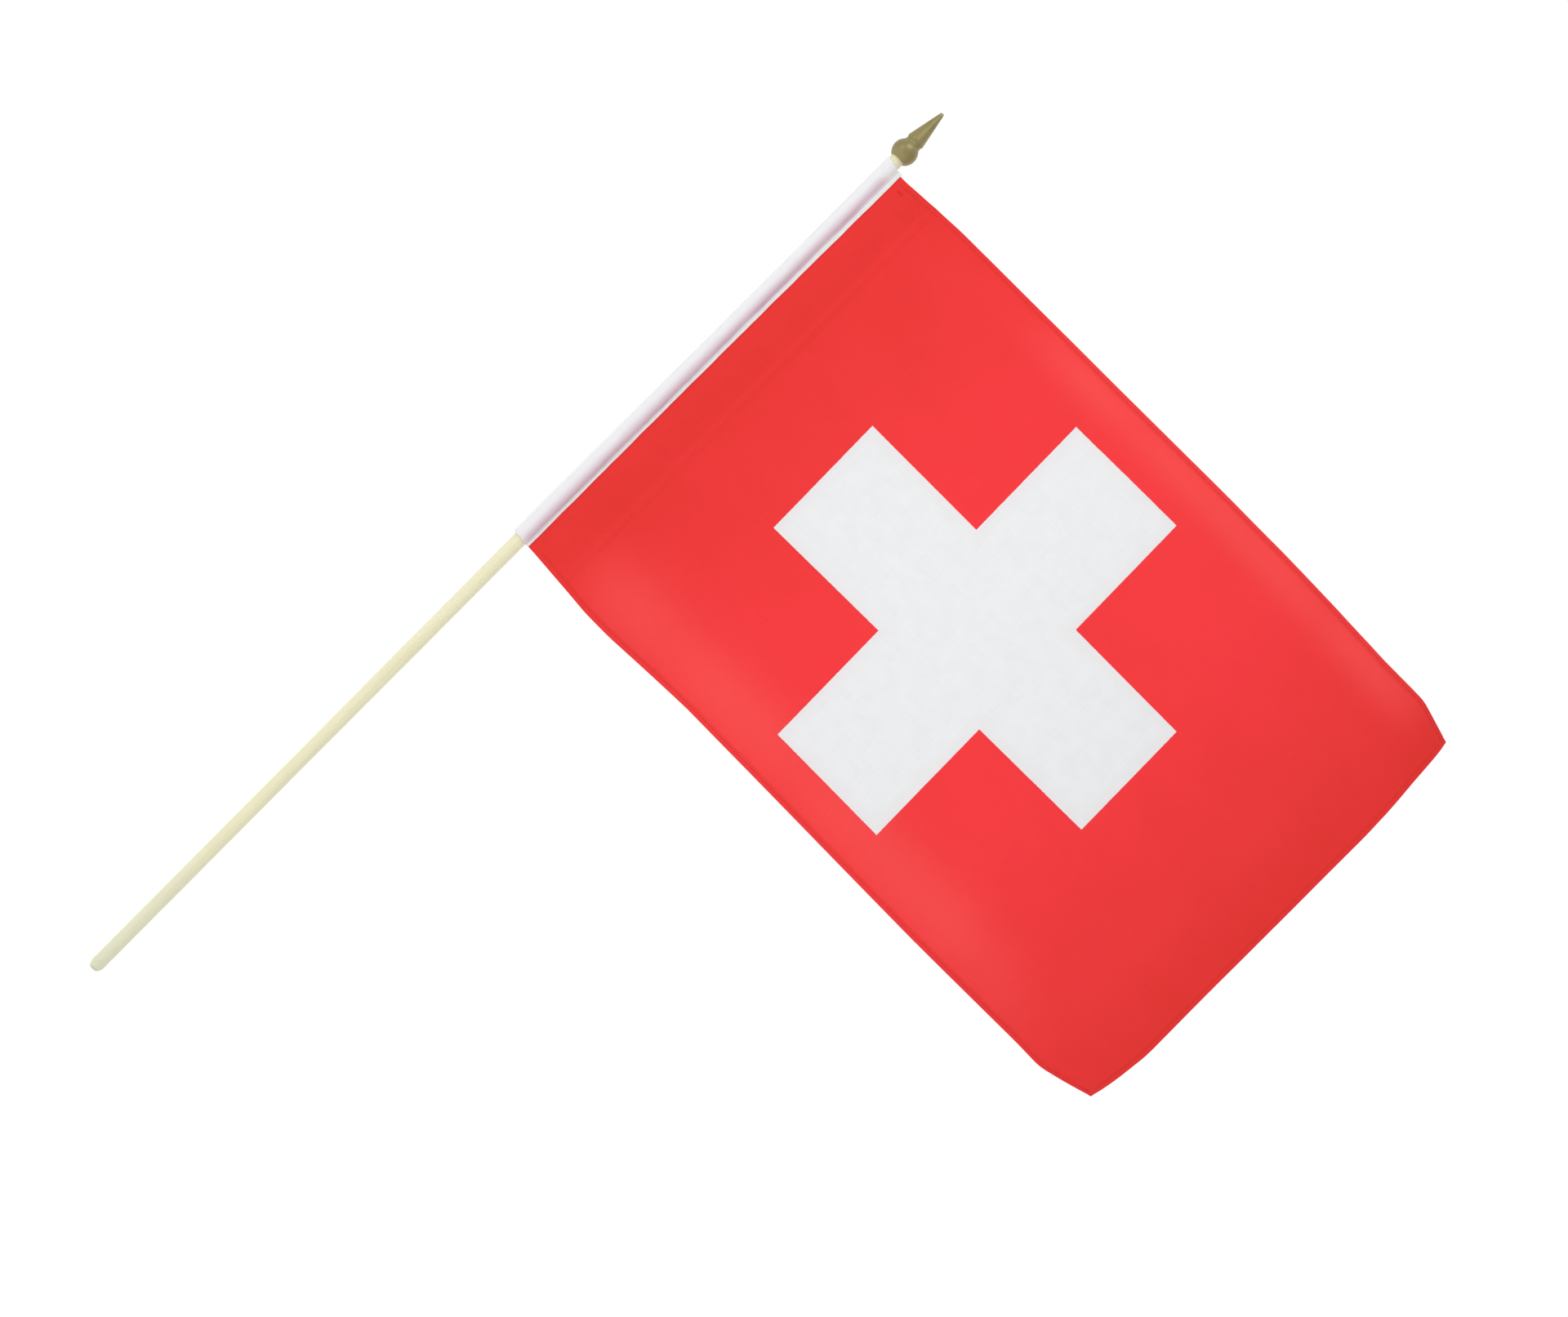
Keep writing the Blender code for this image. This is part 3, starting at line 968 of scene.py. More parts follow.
@dataclass
class Staff:
    """The wooden stick with its glued gold finial, on the body that the hand holds."""

    tip_height: float = 3.4 * MM
    tip_flat: float = 1.5 * MM
    top_chamfer: float = 0.4 * MM
    socket_ease: float = 0.3 * MM
    socket_depth: float = 9.5 * MM
    ball_proud: float = 0.35 * MM
    neck_height: float = 1.1 * MM
    groove_height: float = 1.1 * MM
    groove_depth: float = 0.45 * MM
    flare_height: float = 1.0 * MM

    def stick_profile(self, radius: float, length: float) -> Array:
        """The dowel's outline: a small flat, a quarter ellipse to the full radius, a side and a chamfer.

        Args:
            radius: the dowel's radius.
            length: the dowel's length.

        Returns:
            Rows of (radius, height).
        """
        angle = np.linspace(0.0, math.pi / 2, 15)
        round_end = np.stack([
            self.tip_flat + (radius - self.tip_flat) * np.sin(angle),
            self.tip_height * (1 - np.cos(angle)),
        ], axis=1)
        heights = np.linspace(self.tip_height + 3 * MM, length - self.top_chamfer, 170)
        side = np.stack([np.full_like(heights, radius), heights], axis=1)
        flat = np.array([[0.0, 0.0], [self.tip_flat * 0.6, 0.0]])
        top = np.array([[radius - self.top_chamfer, length], [radius * 0.5, length], [0.0, length]])
        return np.concatenate([flat, round_end, side, top])

    def finial_profile(self, box: Box, stick_radius: float) -> Array:
        """The finial's outline, from the roof of its socket, down its wall, and up outside to the tip.

        The ball is a circle from the mouth to the neck, and the spear a straight taper. The outside is
        averaged along its length, which rounds its corners as a mould does.

        Args:
            box: the finial's box.
            stick_radius: the radius of the dowel in its socket.

        Returns:
            Rows of (radius, height).
        """
        ball = box.high.x + self.ball_proud
        socket = stick_radius + self.socket_ease
        mouth, neck = socket + 0.4 * MM, socket + 0.65 * MM
        mouth_angle, neck_angle = -math.acos(mouth / ball), math.acos(neck / ball)
        bottom = box.low.z
        centre = bottom - ball * math.sin(mouth_angle)
        angle = np.linspace(mouth_angle, neck_angle, 40)
        sphere = np.stack([ball * np.cos(angle), centre + ball * np.sin(angle)], axis=1)
        neck_top = sphere[-1, 1] + self.neck_height
        groove_top = neck_top + self.groove_height
        flare_top = groove_top + self.flare_height
        tip = box.high.z
        above = np.array([
            [neck, neck_top],
            [neck - self.groove_depth, (neck_top + groove_top) / 2],
            [neck, groove_top],
            [neck + 0.35 * MM, flare_top],
            [1.15 * MM, tip - 0.5 * MM],
            [0.75 * MM, tip - 0.08 * MM],
            [0.0, tip],
        ])
        outside = softened(np.concatenate([sphere, above]), 0.12 * MM, 5)
        roof = bottom + self.socket_depth
        inside = np.array([[0.0, roof], [socket * 0.5, roof], [socket, roof], [socket, roof - 3 * MM],
                           [socket, bottom + 3 * MM], [socket, bottom + 0.1 * MM]])
        return np.concatenate([inside, outside])

    def build(self, frame: dict) -> list[bpy.types.Object]:
        """Makes the stick and finial, and dresses the hidden glue.

        Args:
            frame: what the frame's load gave.

        Returns:
            The new pieces.
        """
        stick_box, finial_box = Box.of("wooden_stick"), Box.of("spear_finial")
        radius = stick_box.high.x
        stick = turned(self.stick_profile(radius, stick_box.high.z), 56, 0.004).piece(
            "round_stick", WoodFinish().material())
        take_place(stick, "staff", "wooden_stick")
        lacquer = LacquerFinish(tip_height=finial_box.high.z).material()
        moulded = turned(self.finial_profile(finial_box, radius), 72, 0.002, 0.04 * MM)
        finial = moulded.piece("gold_spear", lacquer)
        take_place(finial, "staff", "spear_finial")
        glue = frame["nodes"]["finial_glue"]
        glue.data.materials.clear()
        glue.data.materials.append(GlueFinish().material())
        return [stick, finial]


@dataclass
class Stitching:
    """A row of lockstitches: one thread that lies on the cloth and dips into it at each needle hole."""

    radius: float = 0.14 * MM
    pitch: float = 2.6 * MM
    zigzag: float = 0.0
    bite: float = 0.26 * MM
    around: int = 6
    phases: tuple[float, ...] = (0.0, 0.09, 0.24, 0.5, 0.76, 0.91)

    def stations(self, start: float, end: float) -> tuple[Array, Array, Array]:
        """Places along the row, and what the thread does there.

        Within a stitch the thread stands up by 1 - |2t - 1|^4 of its bite, where t runs from hole to hole,
        and a zigzag goes from side to side as a triangle wave with two stitches to a wave.

        Args:
            start: where the row starts.
            end: where it ends.

        Returns:
            The places, the sideways steps and the heights over the cloth.
        """
        count = max(2, int(round((end - start) / self.pitch)))
        part = np.tile(np.array(self.phases), count)
        stitch = np.repeat(np.arange(count), len(self.phases))
        turn = np.concatenate([stitch + part, [count]])
        place = start + turn * (end - start) / count
        inside = turn - np.floor(turn)
        stand = 1 - np.abs(2 * inside - 1) ** 4
        height = -self.bite + stand * (self.bite + 0.8 * self.radius)
        if self.zigzag:
            side = self.zigzag * (2 * np.abs((turn % 2) - 1) - 1)
        else:
            side = 0.07 * MM * (2 * inside - 1) * stand
        return place, side + 0.03 * MM * wander(place, 23 * MM, 0.9), height

    def thread(self, centres: Array, outward: Array) -> Surface:
        """The thread as a thin closed rod along its centres.

        Args:
            centres: the line, rows x 3.
            outward: the cloth's outward normal at each centre, rows x 3.

        Returns:
            The thread's surface.
        """
        along = unit(np.gradient(centres, axis=0))
        across = unit(np.cross(outward, along))
        lift = np.cross(along, across)
        radii = np.full(len(centres), self.radius)
        radii[0] = radii[-1] = self.radius * 0.6
        return round_rod(centres, across, lift, radii, self.around)


@dataclass
class PoleSleeve:
    """The white tape folded round the stick, with two sewn flaps that hold the cloth between them."""

    foot: float
    head: float
    stick_radius: float
    thickness: float = 0.3 * MM
    welt_width: float = 1.8 * MM
    welt_extra: float = 0.2 * MM
    parting: float = 0.2 * MM
    edge_round: float = 0.16 * MM
    seam_stations: tuple[float, ...] = (0.341, 0.44, 0.545, 0.637)
    seam_places: tuple[float, ...] = (6.4 * MM, 6.6 * MM, 7.3 * MM, 8.2 * MM)
    slack_low: float = 1.15 * MM
    slack_high: float = 0.12 * MM
    head_slant: float = 1.9 * MM
    zigzag: Stitching = field(
        default_factory=lambda: Stitching(radius=0.13 * MM, pitch=1.35 * MM, zigzag=0.42 * MM))

    def seam(self, up: Array) -> Array:
        """How far the flaps' edges stand from the stick's axis at each height."""
        line = rounded_line(up, np.array(self.seam_stations), np.array(self.seam_places), 30 * MM)
        return line + 0.1 * MM * wander(up, 34 * MM, 0.3)

    def opening(self, up: Array) -> Array:
        """Half the gap between the flaps, wider at the two ends where the cloth's hems lie between them."""
        ends = 1 - ease(3.5 * MM, 6.5 * MM, np.minimum(up - self.foot + 2 * MM, self.head + 2 * MM - up))
        return self.parting + 0.16 * MM * ends

    def middle(self, up: Array) -> tuple[Array, Array, Array]:
        """The tape's middle surface.

        Its section at a height starts at the back flap's edge, runs straight along the flap, curves onto the
        stick, goes round its hoist side, and comes back along the front flap. The part round the stick is an
        ellipse whose hoist side stands off by the slack. The curve between flap and ellipse is a cubic that
        has the direction of each at its ends. Any place that would cut into the stick is pushed straight out
        to its surface.

        Args:
            up: the heights of the columns.

        Returns:
            The surface as rows x columns x 3, the distance of each place from the tape's sewn edge along the
            tape, and the distance along the tape from its back edge.
        """
        up = up[None, :]
        seam = self.seam(up)
        flat = self.opening(up) + self.thickness / 2
        inner = seam - self.welt_width - 0.15 * MM
        close = self.stick_radius + self.thickness / 2 + 0.1 * MM
        loose = 1 - ease(self.foot, self.foot + 230 * MM, up)
        slack = self.slack_high + (self.slack_low - self.slack_high) * loose
        uneven = 0.12 * MM * wander(up, 57 * MM, 1.2)
        slack = slack + uneven * ease(self.foot, self.foot + 12 * MM, self.head - up)
        start = np.maximum(0.42, np.arccos(np.minimum(close / inner, 1.0)) + 0.1)
        flap_steps = np.linspace(0.0, 1.0, 17)[:, None]
        curve_steps = np.linspace(0.0, 1.0, 15)[1:, None]
        round_steps = np.linspace(0.0, 1.0, 45)[1:, None]

        def wrapped(angle: Array) -> tuple[Array, Array]:
            """The ellipse round the stick, x = a cos(angle) and y = b sin(angle), with its slack in a.

            Args:
                angle: the angles about the stick's axis.

            Returns:
                X and y at each angle.
            """
            hoist = np.where(np.cos(angle) < 0, 1.0, 0.0)
            reach = close + 0.06 * MM + slack * hoist * np.abs(np.cos(angle))
            return reach * np.cos(angle), (close + 0.12 * MM + 0.15 * slack) * np.sin(angle)

        flap_x = seam - (seam - inner) * flap_steps
        flap_y = np.broadcast_to(flat, flap_x.shape)
        end_x, end_y = wrapped(start)
        ahead_x, ahead_y = wrapped(start + 0.01)
        pull = 1.1 * np.hypot(end_x - inner, end_y - flat)
        size = np.hypot(ahead_x - end_x, ahead_y - end_y)
        out_x, out_y = (ahead_x - end_x) / size * pull, (ahead_y - end_y) / size * pull
        t = curve_steps
        leave, leave_pull = 2 * t ** 3 - 3 * t ** 2 + 1, t ** 3 - 2 * t ** 2 + t
        arrive, arrive_pull = -2 * t ** 3 + 3 * t ** 2, t ** 3 - t ** 2
        curve_x = leave * inner + leave_pull * -pull * 0.6 + arrive * end_x + arrive_pull * out_x
        curve_y = leave * flat + arrive * end_y + arrive_pull * out_y
        round_x, round_y = wrapped(start + (math.pi - start) * round_steps)
        half_x = np.concatenate([flap_x, curve_x, round_x])
        half_y = np.concatenate([flap_y, curve_y, round_y])
        pushed = np.maximum(1.0, close / np.hypot(half_x, half_y))
        half_x, half_y = half_x * pushed, half_y * pushed
        x = np.concatenate([half_x, half_x[-2::-1]])
        y = np.concatenate([half_y, -half_y[-2::-1]])
        z = np.broadcast_to(up, x.shape)
        step = np.hypot(np.diff(x, axis=0), np.diff(y, axis=0))
        run = np.concatenate([np.zeros_like(up), np.cumsum(step, axis=0)])
        fray = 0.25 * MM * wander(run, 9 * MM, 0.5) + 0.5 * MM * np.sin(TURN * run / run[-1:] + 0.8)
        reach = (self.head - self.foot) / 2
        from_middle = (z - (self.head + self.foot) / 2) / reach
        slant = self.head_slant * np.clip((5 * MM - x) / (7 * MM), 0.0, 1.0)
        z = z + fray * from_middle ** 9 + slant * np.maximum(from_middle, 0.0) ** 9
        gap = np.minimum(run, run[-1:] - run)
        return np.stack([x, y, z], axis=2), gap, run

    def build(self) -> bpy.types.Object:
        """Makes the tape as one closed sheet.

        Half the thickness grows by the welt's extra on the flaps' outer side, where the tape's edge is turned
        under, and falls to 0 at every edge along a quarter circle.

        Returns:
            The tape.
        """
        ends = [(self.foot, 0.6 * MM, 0.1 * MM), (self.head, 0.6 * MM, 0.1 * MM)]
        up = spaced(self.foot, self.head, 1.9 * MM, ends)
        middle, gap, run = self.middle(up)
        extra = self.welt_extra * (1 - ease(self.welt_width - 0.25 * MM, self.welt_width + 0.1 * MM, gap))
        extra = extra * (1 + 0.25 * wander(np.broadcast_to(up, gap.shape), 4.3 * MM, 0.2))
        rim = np.minimum(gap, np.minimum(up - up[0], up[-1] - up)[None])
        half = rimmed((self.thickness + extra) / 2, rim, self.edge_round)
        uv = np.stack([run, np.broadcast_to(up, run.shape)], axis=2)
        sheet = two_faced_sheet(middle, extra / 2, half, uv, {"seam_gap": gap})
        tape = sheet.piece("sleeve_tape", TapeFinish(self.foot, self.head).material())
        take_place(tape, "sleeve", "pole_sleeve")
        return tape

    def sew(self, node: str, name: str, material: bpy.types.Material) -> bpy.types.Object:
        """Makes one thread of the row that closes the sleeve, on the face where its node lies.

        Args:
            node: the frame's thread.
            name: the new piece's name.
            material: the thread's material.

        Returns:
            The thread.
        """
        box = Box.of(node)
        side = Side.of(box)
        up, sideways, height = self.zigzag.stations(box.low.z, box.high.z)
        surface = self.opening(up) + self.thickness + self.welt_extra
        centres = np.stack([
            self.seam(up) - self.welt_width * 0.62 + sideways,
            side.value * (surface + height),
            up,
        ], axis=1)
        outward = np.broadcast_to(np.array([0.0, side.value, 0.0]), centres.shape)
        thread = self.zigzag.thread(centres, outward).piece(name, material)
        take_place(thread, "sleeve", node)
        return thread


@dataclass
class Settled:
    """How far a simulated cloth has moved from flat, on an even grid, read smoothly between its places."""

    across: Array
    up: Array
    moved: Array

    def at(self, across: Array, up: Array) -> Array:
        """The movement at any flat places: a cubic through the four nearest places along each direction.

        Args:
            across: flat places' first part.
            up: flat places' second part, the same shape.

        Returns:
            The movement, with one more axis of 3.
        """
        result = 0.0
        row, row_share = self._cell(self.across, across)
        column, column_share = self._cell(self.up, up)
        row_weights, column_weights = self._weights(row_share), self._weights(column_share)
        for i in range(4):
            for j in range(4):
                rows = np.clip(row + i - 1, 0, len(self.across) - 1)
                columns = np.clip(column + j - 1, 0, len(self.up) - 1)
                weight = (row_weights[i] * column_weights[j])[..., None]
                result = result + weight * self.moved[rows, columns]
        return result

    @staticmethod
    def _cell(stations: Array, place: Array) -> tuple[Array, Array]:
        """The cell that each place is in, and how far along it.

        Args:
            stations: the even grid's places along one direction.
            place: the places to find.

        Returns:
            Each place's cell, and its share of the way along it.
        """
        position = (place - stations[0]) / (stations[1] - stations[0])
        position = np.clip(position, 0.0, len(stations) - 1.001)
        cell = np.floor(position).astype(int)
        return cell, position - cell

    @staticmethod
    def _weights(t: Array) -> list[Array]:
        """The four weights of a smooth cubic (a uniform B-spline) at t."""
        return [
            (1 - t) ** 3 / 6,
            (3 * t ** 3 - 6 * t ** 2 + 4) / 6,
            (-3 * t ** 3 + 3 * t ** 2 + 3 * t + 1) / 6,
            t ** 3 / 6,
        ]


@dataclass(frozen=True)
class Outline:
    """One edge of the cloth: how far it stands outside its straight line, at stations along it."""

    stations_mm: tuple[float, ...]
    heights_mm: tuple[float, ...]
    window: float

    def at(self, place: Array) -> Array:
        """The edge's rounded line at each place along it."""
        stations, heights = np.array(self.stations_mm) * MM, np.array(self.heights_mm) * MM
        return rounded_line(place, stations, heights, self.window)


@dataclass(frozen=True)
class Drape:
    """How the cloth hangs: the depth of each broad shape, below 0 where it comes forward."""

    first_drop: float = 2.2 * MM
    second_drop: float = 2.0 * MM
    belly: float = -4.6 * MM
    fall: float = 4.2 * MM
    lift: float = -5.0 * MM
    lift_reach: float = 28 * MM
    droop: float = 4.2 * MM
    droop_reach: float = 16 * MM
    waves: float = 0.8 * MM
    pulls: float = 0.55 * MM
    fold: float = -0.42 * MM
    fold_half: float = 3.6 * MM
    pucker: float = 0.16 * MM
    edge_reach: float = 42 * MM
    settled_share: tuple[float, float, float] = (0.3, 0.7, 0.3)
    roll_reach: float = 17 * MM
    roll_radius: float = 25 * MM
    top: Outline = Outline(
        (0, 8, 14, 22, 34, 54, 80, 254, 310, 354, 394, 428, 454),
        (-3.2, -2.9, -2.9, -2.1, -0.9, 0.1, 0.3, 0.7, 0.8, -0.2, -1.8, -1.5, -8.6),
        3 * MM,
    )
    bottom: Outline = Outline(
        (0, 9, 20, 34, 56, 74, 100, 134, 194, 254, 314, 400, 419, 436, 454),
        (1.8, 1.4, 0.6, -0.4, -2.4, -2.6, -1.5, -0.3, -1.1, -2.1, -3.0, -3.2, -3.8, -0.2, 4.2),
        4 * MM,
    )
    side: Outline = Outline(
        (339, 361, 381, 440, 560, 581, 601, 637),
        (-1.0, 2.2, 4.3, 4.2, 4.7, 4.0, 2.7, 1.2),
        5 * MM,
    )


@dataclass
class PrintedCloth:
    """The red cloth with its cross and folded hems, running from between the sleeve's flaps to the fly."""

    raw_edge: float
    bend: float
    fly: float
    foot: float
    head: float
    web: float = 0.22 * MM
    hem_extra: float = 0.4 * MM
    hem_width: float = 4.2 * MM
    edge_round: float = 0.33 * MM
    crease: float = 34.5 * MM
    settling_step: float = 6 * MM
    settling_frames: int = 30
    table_depth: float = 3.5 * MM
    pressing: int = 3
    settled: "Settled | None" = None
    drape: Drape = field(default_factory=Drape)
    row: Stitching = field(default_factory=Stitching)

    def simulate(self) -> None:
        """Lets a flat cloth settle on a table behind it, held by its hoist edge, with its hems drawn in.

        The hems' thread pulls them shorter than the web, so the web rises in low waves. What each place has
        moved is kept, and the cloth that is built later follows it. A few rounds of averaging each place with
        its neighbours press the smallest wrinkles out, as ironing does.
        """
        columns = math.ceil((self.fly - self.bend) / self.settling_step)
        across = np.linspace(self.bend, self.fly, columns + 1)
        rows = round((self.head - self.foot) / self.settling_step)
        up = np.linspace(self.foot, self.head, rows + 1)
        x, z = np.meshgrid(across, up, indexing="ij")
        y = 0.5 * MM * wander(x + 0.3 * z, 97 * MM, 0.3) * wander(z - 0.2 * x, 71 * MM, 1.1) * ease(
            self.bend, self.bend + 40 * MM, x)
        grid = np.arange(x.size).reshape(x.shape)
        flat = np.stack([x, y, z], axis=2).reshape(-1, 3)
        mesh = bpy.data.meshes.new("settling_cloth")
        mesh.from_pydata(flat.tolist(), [], cells(grid).tolist())
        cloth = bpy.data.objects.new("settling_cloth", mesh)
        table_mesh = bpy.data.meshes.new("settling_table")
        corners = [(-0.1, 0.2), (0.6, 0.2), (0.6, 0.8), (-0.1, 0.8)]
        table_mesh.from_pydata([(px, self.table_depth, pz) for px, pz in corners], [], [(0, 1, 2, 3)])
        table = bpy.data.objects.new("settling_table", table_mesh)
        scene = bpy.context.scene
        scene.collection.objects.link(cloth)
        scene.collection.objects.link(table)
        pinned = cloth.vertex_groups.new(name="pinned")
        pinned.add(grid[0].tolist(), 1.0, "REPLACE")
        drawn = cloth.vertex_groups.new(name="drawn")
        edge = np.minimum(np.minimum(z - self.foot, self.head - z), self.fly - x)
        drawn.add(grid[edge < 5 * MM].tolist(), 1.0, "REPLACE")
        table.modifiers.new("Collision", "COLLISION")
        table.collision.thickness_outer = 1 * MM
        settings = cloth.modifiers.new("Cloth", "CLOTH").settings
        settings.quality = 6
        settings.mass = 0.15
        settings.tension_stiffness = settings.compression_stiffness = 40.0
        settings.shear_stiffness = 12.0
        settings.bending_stiffness = 0.25
        settings.vertex_group_mass = "pinned"
        settings.vertex_group_shrink = "drawn"
        settings.shrink_min = 0.0
        settings.shrink_max = 0.003
        cloth.modifiers["Cloth"].collision_settings.distance_min = 1 * MM
        plain_gravity = tuple(scene.gravity)
        scene.gravity = (0.0, 9.81, 0.0)
        for frame_number in range(1, self.settling_frames + 1):
            scene.frame_set(frame_number)
        settled = cloth.evaluated_get(bpy.context.evaluated_depsgraph_get())
        places = np.zeros(x.size * 3, np.float32)
        settled.data.vertices.foreach_get("co", places)
        scene.gravity = plain_gravity
        scene.frame_set(1)
        for extra in (cloth, table):
            bpy.data.objects.remove(extra)
        for extra in (mesh, table_mesh):
            bpy.data.meshes.remove(extra)
        moved = places.reshape(*x.shape, 3) - np.stack([x, np.zeros_like(y), z], axis=2)
        depth = moved[..., 1] / MM
        log.info("settled cloth: moved %.2f to %.2f mm in depth", depth.min(), depth.max())
        for _ in range(self.pressing):
            for axis in (0, 1):
                after, before = np.roll(moved, -1, axis), np.roll(moved, 1, axis)
                inner = [slice(None), slice(None)]
                inner[axis] = slice(1, -1)
                moved[tuple(inner)] = (before + 2 * moved + after)[tuple(inner)] / 4
        limit = np.array([1.5, 6.0, 1.5]) * MM
        self.settled = Settled(across, up, np.clip(moved, -limit, limit))

    @staticmethod
    def rolled(place: Array, corner: tuple[float, float], direction: tuple[float, float], reach: float,
               radius: float) -> Array:
        """Rolls a corner of the cloth away from the front, as round a rod that lies across it.

        Past the line where the roll starts, a distance s becomes radius * sin(s / radius) along the cloth and
        radius * (1 - cos(s / radius)) away from it.

        Args:
            place: the surface, any shape x 3.
            corner: the corner's (x, z).
            direction: the way to the corner, square to the rod.
            reach: how far before the corner the roll starts.
            radius: the rod's radius.

        Returns:
            The rolled surface.
        """
        length = math.hypot(*direction)
        dx, dz = direction[0] / length, direction[1] / length
        past = np.maximum((place[..., 0] - corner[0]) * dx + (place[..., 2] - corner[1]) * dz + reach, 0.0)
        past = past * past / (past + 4 * MM)
        angle = past / radius
        slip = radius * np.sin(angle) - past
        rise = radius * (1 - np.cos(angle))
        return place + np.stack([slip * dx, rise, slip * dz], axis=-1)

    def middle(self, across: Array, up: Array) -> Array:
        """Where the cloth's web lies, for any flat places.

        The outline first: each edge rises and falls a little along its length, and that dies away into the
        cloth. Then the depth: the cloth drops back from the stick towards the table, rises in a low belly,
        falls again at the fly, and carries a fold crease, soft diagonal pulls from the top hoist corner and
        small puckers along the hems. What the simulation moved is added, and the fly's corners roll back
        last.

        Args:
            across: flat places' first part.
            up: flat places' second part, the same shape.

        Returns:
            The surface, with one more axis of 3.
        """
        shape = self.drape
        below_top, above_foot, to_fly = self.head - up, up - self.foot, self.fly - across
        x = across + shape.side.at(up) * hump(0, shape.edge_reach, to_fly)
        z = up + shape.top.at(across) * hump(0, shape.edge_reach, below_top)
        z = z + shape.bottom.at(across) * hump(0, shape.edge_reach, above_foot)
        near = ease(self.bend, self.bend + 24 * MM, across)
        drop = shape.first_drop * ease(self.bend, 40 * MM, across)
        drop = drop + shape.second_drop * ease(20 * MM, 120 * MM, across)
        part = np.clip((across - 38 * MM) / (self.fly - 38 * MM), 0, 1)
        belly = shape.belly * np.sin(math.pi * part) ** 1.3
        belly = belly * (0.55 + 0.45 * np.sin(math.pi * above_foot / (self.head - self.foot)))
        fall = shape.fall * ease(self.fly - 90 * MM, self.fly + 12 * MM, across) ** 1.4
        lift = shape.lift * np.exp(-above_foot / shape.lift_reach)
        lift = lift * (0.85 + 0.15 * wander(across, 260 * MM, 0.4)) * (1 - ease(325 * MM, 405 * MM, across))
        droop = shape.droop * np.exp(-below_top / shape.droop_reach) * ease(60 * MM, 260 * MM, across)
        slow, slower = wander(across + 0.45 * up, 173 * MM, 0.8), wander(up - 0.25 * across, 231 * MM, 2.1)
        from_corner = np.hypot(across - self.bend, below_top)
        bearing = np.arctan2(below_top, np.maximum(across - self.bend, 0.1 * MM))
        pulls = shape.pulls * np.cos(bearing * 11.0) * hump(75 * MM, 60 * MM, from_corner)
        fold = shape.fold * np.maximum(1 - np.abs(across - self.crease) / shape.fold_half, 0) ** 1.3
        y = (drop + belly + fall + lift * near + droop + shape.waves * slow * slower + pulls) * near + fold
        for edge, run, phase in ((below_top, across, 0.2), (above_foot, across, 1.3), (to_fly, up, 2.2)):
            along = wander(run, 11 * MM, phase)
            y = y + shape.pucker * along * np.exp(-np.abs(edge - 3 * MM) / (3.2 * MM)) * near
        place = np.stack([x, y, z], axis=-1)
        if self.settled is not None:
            place = place + self.settled.at(across, up) * near[..., None] * np.array(shape.settled_share)
        for corner, direction in (
            ((self.fly, self.head - 5 * MM), (0.4, 0.92)),
            ((self.fly, self.foot + 3 * MM), (0.5, -0.86)),
        ):
            place = self.rolled(place, corner, direction, shape.roll_reach, shape.roll_radius)
        return place

    def hem_share(self, across: Array, up: Array) -> Array:
        """1 on the folded hems, 0 on the single web, with a step as wide as the cloth's fold is thick.

        Args:
            across: flat places' first part.
            up: flat places' second part, the same shape.

        Returns:
            The share at each place.
        """
        edge = np.minimum(np.minimum(up - self.foot, self.head - up), self.fly - across)
        width = self.hem_width + 0.15 * MM * wander(across + up, 37 * MM, 0.7)
        return 1 - ease(-0.25 * MM, 0.25 * MM, edge - width)

    def paled(self, across: Array, up: Array) -> Array:
        """1 along two soft bands beside the long edges, where a sheen is painted as paler red, 0 elsewhere.

        Args:
            across: flat places' first part.
            up: flat places' second part, the same shape.

        Returns:
            The share at each place.
        """
        low = hump(20 * MM, 20 * MM, up - self.foot) * ease(22 * MM, 70 * MM, across)
        low = 0.95 * low * (1 - ease(345 * MM, 430 * MM, across + 0.8 * (up - self.foot)))
        high = hump(10 * MM, 12 * MM, self.head - up) * ease(95 * MM, 170 * MM, across)
        high = high * (1 - ease(395 * MM, 445 * MM, across))
        streaks = 0.88 + 0.12 * wander(across, 131 * MM, 0.6)
        return np.clip((low + 0.9 * high) * streaks, 0.0, 1.0)

    def faces(self, across: Array, up: Array) -> tuple[Array, Array]:
        """How far the front and the back stand off the middle of the web.

        The hem's two extra layers lie on the back. Both sides are drawn in by a narrow groove along the
        stitches.

        Args:
            across: flat places' first part.
            up: flat places' second part, the same shape.

        Returns:
            The distances of the front and the back, both above 0.
        """
        hem = self.hem_share(across, up)
        groove = 0.0
        for hem_edge in Hem:
            distance = self.from_edge(hem_edge, across, up)
            run = up if hem_edge is Hem.FLY else across
            groove = groove + hump(0.0, 0.42 * MM, distance - self.inset(hem_edge, run))
        groove = np.minimum(groove, 1.0) * hem
        front = self.web / 2 + 0.05 * MM * hem - 0.09 * MM * groove
        back = self.web / 2 + self.hem_extra * hem - 0.10 * MM * groove
        return front, back

    def from_edge(self, hem_edge: Hem, across: Array, up: Array) -> Array:
        """The flat distance of places from a hemmed edge."""
        distances = {Hem.TOP: self.head - up, Hem.BOTTOM: up - self.foot, Hem.FLY: self.fly - across}
        return distances[hem_edge]

